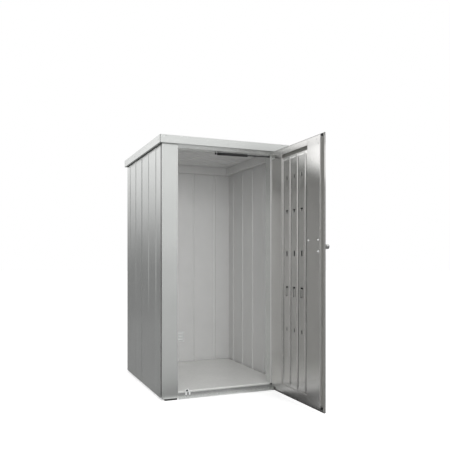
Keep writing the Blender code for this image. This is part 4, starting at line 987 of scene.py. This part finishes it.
# Through each slit the painted shade on the skin's back shows as a dark line
for ridge in ridges:
    side = ridge + RIDGE_FOOT / 2 + SLIT_GAP
    punch(side, side + SLIT_WIDTH, LINER_LOW + SLIT_SETBACK, LINER_HIGH - SLIT_SETBACK)
print("%d slots and %d slits" % (3 * len(ROWS), len(ridges)))

# %% [markdown]
# ## Hinges
# The door hangs on two pins. Each pin stands on a bracket of thick plated steel: the upper one is an angle on
# the pillar, the lower one a flat tongue on the sill's lip. The pins turn in solid blocks in the tray's
# corners.

# %% Hinge brackets
PLATE = 0.0025
PIN_RADIUS = 0.0022


def joined(shapes):
    """One shape that holds the meshes of several."""
    whole = bmesh.new()
    for shape in shapes:
        part = bpy.data.meshes.new("part")
        shape.to_mesh(part)
        shape.free()
        whole.from_mesh(part)
        bpy.data.meshes.remove(part)
    return whole


def pin(length, radius, spot):
    """A round upright pin with chamfered ends that stands at spot."""
    chamfer = 0.0006
    return placed(turned([(0, 0), (0, radius - chamfer), (chamfer, radius), (length - chamfer, radius),
                          (length, radius - chamfer), (length, 0)], 24), spot)


top_low, top_high = node_box("pivot_bracket_top")
seat = DOOR_HIGH + 0.0008
section = [(top_low.y, seat), (top_high.y, seat), (top_high.y, top_high.z)]
upper = sheet_across(section, top_low, top_high, BACK, PIN_RADIUS, PLATE)
upper_pin = pin(seat - top_low.z + 0.001, PIN_RADIUS, (PIVOT.x, PIVOT.y, top_low.z))
add_piece("upper_hinge_angle", joined([upper, upper_pin]), "bright_zinc", "cabinet", ["pivot_bracket_top"])

pivot_low, pivot_high = node_box("pivot_bracket_bottom")
tongue = rounded_block(pivot_low, (pivot_high.x, pivot_high.y, pivot_low.z + PLATE), 0.002, 0.0004)
lower_pin = pin(pivot_high.z - pivot_low.z - 0.001, PIN_RADIUS, (PIVOT.x, PIVOT.y, pivot_low.z + 0.001))
add_piece("lower_hinge_tongue", joined([tongue, lower_pin]), "bright_zinc", "cabinet", ["pivot_bracket_bottom"])
print("hinge angle %.0f mm high" % ((top_high.z - top_low.z) * 1000))

# %% [markdown]
# ## Strike bushes
# When the handle is turned, a rod at the bottom of the door drops through a bush in the sill and one at the
# top rises into the header. The lower bush shows beside the left pillar as a bright ring round a dark hole,
# with two short legs over the sill's face. Its plate is turned up behind the door and carries a thin black
# buffer for the shut door. Rings and tubes are spun from a profile.

# %% Strike bushes
WING_START, WING_END, RIM_RADIUS = 0.008, 0.018, 0.0083
# Ring with a raised rim and the tube behind it, open all the way
BUSH_PROFILE = [(0, 0.0055), (-0.020, 0.0055), (-0.020, 0.0065), (0, 0.0065), (0, RIM_RADIUS),
                (0.0008, RIM_RADIUS), (0.0012, 0.0078), (0.0012, 0.0062), (0.0008, 0.0055), (0, 0.0055)]
for name, way, seat in (("bottom", 1, sill_high.z + HAIR), ("top", -1, head_low.z - HAIR)):
    parts = [placed(turned(BUSH_PROFILE), (strike.x, strike.y, seat), UP * way)]
    for side in (-1, 1):
        outer, inner = strike.x + side * WING_END, strike.x + side * WING_START
        parts.append(rounded_block((outer, strike.y - RIM_RADIUS, seat),
                                   (inner, strike.y + RIM_RADIUS, seat + way * 0.001), 0.002, 0.0002))
        if way > 0:
            parts.append(rounded_block((outer, FRONT - 0.0011, 0.0280), (inner, FRONT - HAIR, seat + 0.001),
                                       0.0015, 0.0002, axis=1))
    if way > 0:
        eye = Vector((strike.x - 0.012, FRONT + 0.0175, seat))
        parts.append(rounded_block(eye, eye + Vector((0.024, 0.0012, 0.0185)), 0.006, 0.0002, axis=1))
    add_piece("plated_bush_" + name, joined(parts), "white_zinc" if way > 0 else "bright_zinc", "cabinet",
              ["strike_bush_" + name])
buffer = placed(turned([(0, 0), (0, 0.0072), (0.0007, 0.0072), (0.0010, 0.0062), (0.0010, 0)]),
                (strike.x, FRONT + 0.0176, sill_high.z + 0.0078), FORWARD)
add_piece("door_buffer", buffer, "black_rubber", "cabinet")
print("rod bushes at x %.3f" % strike.x)

# %% [markdown]
# ## Screws
# Small screws hold the roof's edge, the lock and the door's frame. In a picture of the whole cabinet they are
# a pixel wide, so each head is a spun dome of a few dozen faces with a round recess. The heads of one row are
# joined into one piece.

# %% Screws
# Radius and height of each kind of head
ROOF_SCREW = (0.0035, SCREW_RISE)
FRAME_SCREW = (0.0034, 0.0018)
LOCK_SCREW = (0.0062, 0.0030)
ARM_SCREW = (0.0042, 0.0020)


def screw_head(size, spot, facing):
    """A domed head with a round recess."""
    radius, height = size
    return placed(turned([(0, 0), (0, radius), (height * 0.45, radius), (height * 0.85, radius * 0.8),
                          (height, radius * 0.45), (height * 0.45, radius * 0.38), (height * 0.45, 0)], 14),
                  spot, facing)


def add_screws(name, spots, facing, size, finish, body):
    """One piece with a screw head at every spot."""
    heads = joined([screw_head(size, spot, facing) for spot in spots])
    return add_piece(name, heads, finish, body)


ROOF_SCREW_HEIGHT = 1.789
front_spots = [(-0.453, 1.812), (0.004, 1.789), (0.391, 1.772), (0.439, 1.812), (0.461, 1.803)]
add_screws("roof_screws_front", [(x, edge_front, z) for x, z in front_spots], FORWARD, ROOF_SCREW,
           "bright_zinc", "cabinet")
side_places = (FRONT + 0.02, FRONT + 0.36, FRONT + 0.72, REAR - 0.02)
for side_name, side in SIDES:
    spots = [(side * edge_x, y, ROOF_SCREW_HEIGHT) for y in side_places]
    add_screws("roof_screws_" + side_name, spots, RIGHT * side, ROOF_SCREW, "bright_zinc", "cabinet")
add_screws("roof_screws_rear", [(x, edge_rear, ROOF_SCREW_HEIGHT) for x in (-0.45, 0.0, 0.45)], BACK,
           ROOF_SCREW, "bright_zinc", "cabinet")

stile_spots = [(0.5705, 1.722), (0.6625, 1.723), (0.6805, 1.693), (0.6805, 0.075), (0.5705, 0.064),
               (0.070, 1.715), (0.190, 1.722), (0.070, 0.070), (0.190, 0.064)]
stile_heads = [on_door(reach, STEP if reach < 0.1 else BOX_FACE, height) for reach, height in stile_spots]
add_screws("door_frame_screws", stile_heads, INWARD, FRAME_SCREW, "bright_zinc", "door")
for number in (1, 2, 3):
    low, high = node_box("lock_screw_%d" % number)
    centre = (low + high) / 2
    head = screw_head(LOCK_SCREW, (PIVOT.x - BOX_FACE - HAIR, centre.y, centre.z), INWARD)
    add_piece("lock_screw_head_%d" % number, head, "white_zinc", "door", ["lock_screw_%d" % number])
print("screws placed")

# %% [markdown]
# ## Turning handle
# Outside, a T-shaped grip of cast metal turns in a round escutcheon. A casting has no sharp edge: the grip is
# a scaled cube whose ends are rounded almost full and whose rims have a wide bevel, and its waist is pulled in
# for the fingers. The neck, the escutcheon and the face of the lock barrel are spun.

# %% Handle
grip_low, grip_high = node_box("handle_grip")
rose_x = node_box("handle_escutcheon")[0].x
axis_y, axis_z = (grip_low.y + grip_high.y) / 2, (grip_low.z + grip_high.z) / 2
GRIP_THICK, GRIP_ENDS, GRIP_RIM = 0.022, 0.0145, 0.0050
WAIST, WAIST_REACH = 0.86, 0.030
BARREL_SINK = 0.0004


def on_axis(profile, x):
    """Spin a profile round the handle's axis, from x outwards."""
    return placed(turned(profile), (x, axis_y, axis_z), RIGHT)


grip = rounded_block((grip_high.x - GRIP_THICK, grip_low.y, grip_low.z), grip_high, GRIP_ENDS, GRIP_RIM, axis=0)
bmesh.ops.subdivide_edges(grip, edges=[edge for edge in grip.edges if edge.calc_length() > 0.05], cuts=7)
for corner in grip.verts:
    reach = min(abs(corner.co.y - axis_y) / WAIST_REACH, 1)
    corner.co.z = axis_z + (corner.co.z - axis_z) * (WAIST + (1 - WAIST) * reach * reach)
add_piece("cast_grip", grip, "handle_chrome", "handle", ["handle_grip"], angle=50)
neck = on_axis([(0, 0), (0, 0.0135), (0.002, 0.0120), (0.014, 0.0112), (0.020, 0.0125), (0.024, 0.0140),
                (0.024, 0)], grip_low.x)
add_piece("grip_neck", neck, "handle_chrome", "handle")
rose = on_axis([(0, 0), (0, 0.026), (0.0025, 0.026), (0.0050, 0.0235), (0.006, 0.020), (0.006, 0.0150),
                (0.0045, 0.0145), (0.0045, 0)], rose_x)
add_piece("escutcheon_rose", rose, "handle_chrome", "door", ["handle_escutcheon"])
barrel = on_axis([(0, 0), (0, 0.0070), (0.0006, 0.0064), (0.0006, 0.0052), (0.0002, 0.0050), (0.0002, 0)],
                 grip_high.x - BARREL_SINK)
add_piece("lock_barrel", barrel, "bright_zinc", "handle")
# The keyway is not cut: a thin black block on the barrel's face is painted shade for the opening
keyway_shade = rounded_block((grip_high.x - BARREL_SINK, axis_y - 0.0006, axis_z - 0.0034),
                         (grip_high.x + 0.0001, axis_y + 0.0006, axis_z + 0.0034), 0.0004, 0, axis=0)
add_piece("keyway_shade", keyway_shade, "black_nylon", "handle")
print("grip %.0f mm long" % ((grip_high.y - grip_low.y) * 1000))

# %% [markdown]
# ## Gas strut
# A strut is three turned parts: an enamelled tube whose mouth is rolled over a seal, a thin rod, and a ball
# socket at each end. It is spun along Z from its real diameters and laid on the line between its two ball
# studs. The tube turns on the header, the rod slides with the door.

# %% Gas strut
STRUT_PLACE = Vector(JOINTS["strut_swing"]["pos_m"])
STRUT_WAY = Vector(JOINTS["strut_extend"]["axis"]).normalized()
SOCKET_RADIUS = 0.0060
STRUT_OPEN = (node_box("strut_rod")[1].x - SOCKET_RADIUS - STRUT_PLACE.x) / STRUT_WAY.x
TUBE_PROFILE = [(0.008, 0), (0.008, 0.0045), (0.011, 0.0048), (0.012, 0.0075), (0.0135, 0.0100),
                (0.2300, 0.0100), (0.2320, 0.0092), (0.2338, 0.0062), (0.2340, 0.0052), (0.2300, 0.0050),
                (0.2300, 0)]
ROD_PROFILE = [(0.1900, 0), (0.1900, 0.0048), (STRUT_OPEN - 0.014, 0.0048), (STRUT_OPEN - 0.013, 0.0055),
               (STRUT_OPEN - 0.004, 0.0055), (STRUT_OPEN - 0.004, 0)]
SOCKET_PROFILE = [(-0.0060, 0), (-0.0060, 0.0045), (-0.0040, 0.0062), (0.0045, 0.0062), (0.0060, 0.0050),
                  (0.0060, 0)]
for name, profile, socket, body, node in (
        ("strut_tube_shell", TUBE_PROFILE, STRUT_PLACE, "strut_tube", "strut_cylinder"),
        ("strut_rod_shaft", ROD_PROFILE, STRUT_PLACE + STRUT_WAY * STRUT_OPEN, "strut_piston", "strut_rod")):
    shaft = placed(turned(profile), STRUT_PLACE, STRUT_WAY)
    add_piece(name, joined([shaft, placed(turned(SOCKET_PROFILE, 20), socket)]), "black_paint", body, [node])
print("strut %.0f mm between its studs" % (STRUT_OPEN * 1000))

# %% The strut's brackets
header_low, header_high = node_box("strut_bracket_header")
stud_plate = rounded_block((header_low.x, header_low.y, header_high.z - PLATE), header_high, 0.003, 0.0004)
stud = pin(header_high.z - header_low.z - 0.001, 0.0034, (STRUT_PLACE.x, STRUT_PLACE.y, header_low.z))
add_piece("header_stud_plate", joined([stud_plate, stud]), "bright_zinc", "cabinet", ["strut_bracket_header"])

arm_low, arm_high = node_box("strut_bracket_door")
arm_width = arm_high.y - arm_low.y
arm_line = [(arm_low.x, arm_high.z), (arm_high.x, arm_high.z), (arm_high.x, arm_low.z)]
arm = folded_sheet([(x, arm_low.y, z) for x, z in arm_line], BACK * arm_width, UP + RIGHT, 0.002, PLATE)
add_piece("strut_arm", arm, "bright_zinc", "door", ["strut_bracket_door"])
arm_spots = [(arm_high.x - PLATE, arm_low.y + arm_width * share, arm_low.z + 0.010) for share in (0.30, 0.72)]
add_screws("strut_arm_screws", arm_spots, INWARD, ARM_SCREW, "white_zinc", "door")
print("arm %.0f mm wide" % (arm_width * 1000))

# %% [markdown]
# ## Rod guides
# A moulded nylon block closes each end of the lock stile and guides the rod. It is pressed into the stile, and
# one small black tongue of it stays in sight at the door's corner, past the end of the box.

# %% Rod guides
TONGUE, TONGUE_FACE, GUIDE_INSET = 0.019, 0.0052, 0.0015
rod_low, rod_high = node_box("lock_rod_upper")
rod_line = (rod_low + rod_high) / 2
for name, stile_end, way in (("top", BOX_HIGH, 1), ("bottom", BOX_LOW, -1)):
    low, high = node_box("rod_guide_" + name)
    inner_end = stile_end - way * GUIDE_INSET
    block_low, block_high = (low.z, inner_end) if way > 0 else (inner_end, high.z)
    block = rounded_block((low.x, low.y, block_low), (high.x, high.y, block_high), 0.002, 0.0008)
    tongue = rounded_block((PIVOT.x - TONGUE_FACE, low.y + 0.004, inner_end),
                           (high.x - 0.001, low.y + 0.020, stile_end + way * TONGUE), 0.002, 0.0008)
    guide = add_piece("moulded_guide_" + name, joined([block, tongue]), "black_nylon", "door",
                      ["rod_guide_" + name])
    carve(guide, bore(0.0042, 0.030, (rod_line.x, rod_line.y, (block_low + block_high) / 2)))
print("guides %.0f mm wide" % ((high.y - low.y) * 1000))

# %% [markdown]
# ## Finishes for the pieces that stay as they are
# The pivot blocks, the rods, the spindle, the cam and the lock case are plain turned or sawn parts,
# and the CAD already has their shape. They only get their real finish.

# %% Finishes on CAD pieces
KEPT = {
    "bright_zinc": ["door_pivot_block_top", "door_pivot_block_bottom", "handle_spindle", "lock_cam",
                    "lock_rod_upper", "lock_rod_lower"],
    "galvanised": ["lock_case"],
}
for finish, nodes in KEPT.items():
    for node in nodes:
        for material_slot in frame["nodes"][node].material_slots:
            material_slot.material = FINISHES[finish]
print("kept nodes:", sum(len(nodes) for nodes in KEPT.values()))

# %% [markdown]
# ## Floor and studio
# The ground is a large pale disc. For the camera it is lifted to white by a little light of its own, added to
# the light that falls on it, so the shadow of the cabinet still shows. Metal in a white room would be all
# white. A photographer gives it form with grey boards, out of the picture, that only the metal sees. Here a
# ring of boards and a card on the ground stand round the cabinet, and only glossy rays meet them.

# %% Studio floor


def studio_rays(tree):
    """1 for the rays that show the studio itself: to the camera, in a reflection and through glass."""
    path = add_node(tree, "ShaderNodeLightPath")
    seen = path.outputs["Is Camera Ray"]
    for ray in ("Is Glossy Ray", "Is Transmission Ray"):
        either = add_node(tree, "ShaderNodeMath", {0: seen, 1: path.outputs[ray]}, operation="MAXIMUM")
        seen = either.outputs[0]
    return seen


floor_finish, tree, shader, place = start_finish("pale_studio_floor")
fill(tree, shader, {"Base Color": srgb("D8D8D8"), "Roughness": 0.9})
lift = add_node(tree, "ShaderNodeMath", {0: studio_rays(tree), 1: 0.55}, operation="MULTIPLY")
glow = add_node(tree, "ShaderNodeEmission", {"Strength": lift.outputs[0]})
both = add_node(tree, "ShaderNodeAddShader", {0: shader.outputs[0], 1: glow.outputs[0]})
fill(tree, tree.nodes["Material Output"], {"Surface": both.outputs[0]})

disc = bmesh.new()
bmesh.ops.create_circle(disc, cap_ends=True, segments=64, radius=40)
studio_floor = as_object("studio_floor", disc, [floor_finish])
studio_floor.location.z = -0.0005
print("floor:", floor_finish.name)

# %% [markdown]
# ## What the metal sees
# The brightness of the boards could be painted as a picture. Here it is worked out from the place alone: a
# board covers some degrees of the ring, fades at both sides, and runs from one tone to another with its
# height. The card on the ground is done the same way, by the distance from the cabinet.

# %% Brightness of the boards and the card
BOARD_RADIUS, BOARD_HEIGHT = 5.0, 4.6
# A board: where it starts, is whole, is whole no longer and ends, in degrees from straight ahead of the door;
# the two heights between which its brightness runs, the two brightnesses, and how it runs
BOARDS = (
    ((-116, -98, -30, -23), (0.1, 1.0), (0.20, 0.60), "SMOOTHSTEP"),
    ((20, 26, 50, 62), (2.3, 3.0), (0.24, 1.0), "SMOOTHSTEP"),
    ((-18, -10, 20, 26), (0.0, 2.9), (0.42, 0.88), "LINEAR"),
)


def bearing(tree, across, depth):
    """Degrees from straight ahead of the door, growing to the right."""
    ahead = add_node(tree, "ShaderNodeMath", {0: depth, 1: -1.0}, operation="MULTIPLY")
    angle = add_node(tree, "ShaderNodeMath", {0: across, 1: ahead.outputs[0]}, operation="ARCTAN2")
    in_degrees = add_node(tree, "ShaderNodeMath", {0: angle.outputs[0], 1: degrees(1)}, operation="MULTIPLY")
    return in_degrees.outputs[0]


def share_of(tree, *fades):
    """1 where every fade is full. A fade is a value, where it begins and where it is full."""
    share = 1.0
    for value, begins, full in fades:
        fade = add_node(tree, "ShaderNodeMapRange", {"Value": value, "From Min": begins, "From Max": full},
                        interpolation_type="SMOOTHSTEP")
        share = add_node(tree, "ShaderNodeMath", {0: share, 1: fade.outputs["Result"]},
                         operation="MULTIPLY").outputs[0]
    return share


def laid_over(tree, level, share, value, places, tones, course="SMOOTHSTEP"):
    """Lay a panel over the brightness so far. Its tone runs from one place of value to the other."""
    panel = add_node(tree, "ShaderNodeMapRange", {"Value": value, "From Min": places[0], "From Max": places[1],
                                                  "To Min": tones[0], "To Max": tones[1]},
                     interpolation_type=course)
    return add_node(tree, "ShaderNodeMix", {0: share, 2: level, 3: panel.outputs["Result"]},
                    data_type="FLOAT").outputs[0]


def board_level(tree, place):
    """How bright the boards are: pale panels in front, dark ones beside, and all fade to white upwards."""
    split = add_node(tree, "ShaderNodeSeparateXYZ", {"Vector": place})
    across, depth, height = (split.outputs[name] for name in "XYZ")
    angle = bearing(tree, across, depth)
    # The ring is dark beside the cabinet and a little paler behind it
    level = laid_over(tree, 0.0, 1.0, height, (2.0, 3.2), (0.15, 0.95))
    level = laid_over(tree, level, share_of(tree, (depth, 2.0, 4.0)), height, (0.7, 2.85), (0.21, 1.0))
    for (left, left_full, right_full, right), heights, tones, course in BOARDS:
        share = share_of(tree, (angle, left, left_full), (angle, right, right_full))
        level = laid_over(tree, level, share, height, heights, tones, course)
    # One more pale panel stands high at the back left
    high_lamp = share_of(tree, (angle, -156, -150), (angle, -110, -120), (height, 2.8, 3.3))
    lit = add_node(tree, "ShaderNodeMath", {0: high_lamp, 1: 0.6, 2: level}, operation="MULTIPLY_ADD")
    return lit.outputs[0]


def card_level(tree, place):
    """How bright the card on the ground is: dark close by and to the right, a bright strip at the sill."""
    split = add_node(tree, "ShaderNodeSeparateXYZ", {"Vector": place})
    across, depth = split.outputs["X"], split.outputs["Y"]
    angle = bearing(tree, across, depth)
    away = add_node(tree, "ShaderNodeVectorMath", {0: place}, operation="LENGTH").outputs["Value"]
    aside = add_node(tree, "ShaderNodeMath", {0: across}, operation="ABSOLUTE").outputs[0]
    # Grey that grows a little paler outwards, dark to the right, and dimmed near the cabinet's middle
    level = laid_over(tree, 0.0, 1.0, away, (0.4, BOARD_RADIUS), (0.38, 0.50), "LINEAR")
    to_right = share_of(tree, (angle, 14, 20), (angle, 72, 60))
    level = add_node(tree, "ShaderNodeMix", {0: to_right, 2: level, 3: 0.16}, data_type="FLOAT").outputs[0]
    dimmed = add_node(tree, "ShaderNodeMath", {0: level, 1: 0.38}, operation="MULTIPLY").outputs[0]
    level = add_node(tree, "ShaderNodeMix", {0: share_of(tree, (away, 0.45, 0.9)), 2: dimmed, 3: level},
                     data_type="FLOAT").outputs[0]
    # Under the sill it is bright, and more so at the left
    strip = share_of(tree, (depth, -0.280, -0.245), (aside, 0.50, 0.42))
    level = laid_over(tree, level, strip, across, (0.10, 0.24), (0.90, 0.40))
    # Towards the back it turns to one dark grey
    return add_node(tree, "ShaderNodeMix", {0: share_of(tree, (depth, 0.4, -0.4)), 2: 0.25, 3: level},
                    data_type="FLOAT").outputs[0]


print("boards %.1f m high, %.1f m away" % (BOARD_HEIGHT, BOARD_RADIUS))

# %% Boards and card


def add_reflected(name, shape, level_of):
    """A stage piece that only gives light, and that only glossy rays meet."""
    material, tree, shader, place = start_finish(name + "_light")
    tree.nodes.remove(shader)
    light = add_node(tree, "ShaderNodeEmission", {"Strength": level_of(tree, place)})
    fill(tree, tree.nodes["Material Output"], {"Surface": light.outputs[0]})
    piece = as_object(name, shape, [material])
    for ray in ("camera", "diffuse", "transmission", "shadow", "volume_scatter"):
        setattr(piece, "visible_" + ray, False)


card = bmesh.new()
bmesh.ops.create_circle(card, cap_ends=True, segments=64, radius=BOARD_RADIUS)
bmesh.ops.translate(card, vec=UP * HAIR, verts=card.verts)
add_reflected("ground_card", card, card_level)
boards = bmesh.new()
bmesh.ops.create_circle(boards, segments=64, radius=BOARD_RADIUS)
pull(boards, boards.edges[:], UP * BOARD_HEIGHT)
add_reflected("ring_of_boards", boards, board_level)
print("boards and card stand")

# %% [markdown]
# ## World and lamps
# A white world lights the cabinet evenly from all sides. Two large soft lamps give the light a direction: one
# stands high at the left, the other in front, where it reaches into the room. Neither shows in the metal.

# %% World and lamps
world = bpy.data.worlds.new("studio")
bpy.context.scene.world = world
world.use_nodes = True
tree = world.node_tree
strength = add_node(tree, "ShaderNodeMapRange", {"Value": studio_rays(tree), "To Min": 0.75, "To Max": 1.0})
fill(tree, tree.nodes["Background"], {"Color": srgb("FFFFFF"), "Strength": strength.outputs["Result"]})


def add_lamp(name, spot, target, width, height, power):
    """A soft rectangular lamp at spot that looks at target."""
    data = bpy.data.lights.new(name, "AREA")
    data.shape = "RECTANGLE"
    data.size, data.size_y, data.energy = width, height, power
    lamp = bpy.data.objects.new(name, data)
    bpy.context.scene.collection.objects.link(lamp)
    lamp.location = spot
    lamp.visible_glossy = False
    lamp.rotation_euler = (Vector(target) - Vector(spot)).to_track_quat("-Z", "Y").to_euler()


add_lamp("key_softbox", (-2.2, -3.6, 3.2), (0, 0, 0.9), 2.4, 1.8, 30)
add_lamp("room_softbox", (0.0, -4.2, 1.9), (0, 0.4, 0.8), 2.6, 2.0, 110)
bpy.context.scene.view_settings.view_transform = "Standard"
print("studio ready")

# %% [markdown]
# ## Camera
# The picture was taken level, from the left of the open door. A level camera keeps uprights parallel, and the
# lens was shifted up a little instead of tilting it. The place, the turn and the lens were fitted to the
# cabinet's edges in the picture.

# %% Camera
camera_data = bpy.data.cameras.new("camera")
camera_data.lens = 44.16
camera_data.sensor_width = 36
camera_data.shift_y = 0.0743
camera = bpy.data.objects.new("camera", camera_data)
bpy.context.scene.collection.objects.link(camera)
camera.location = (-1.515, -3.829, 0.975)
camera.rotation_euler = (pi / 2, 0, radians(-22.44))
bpy.context.scene.camera = camera
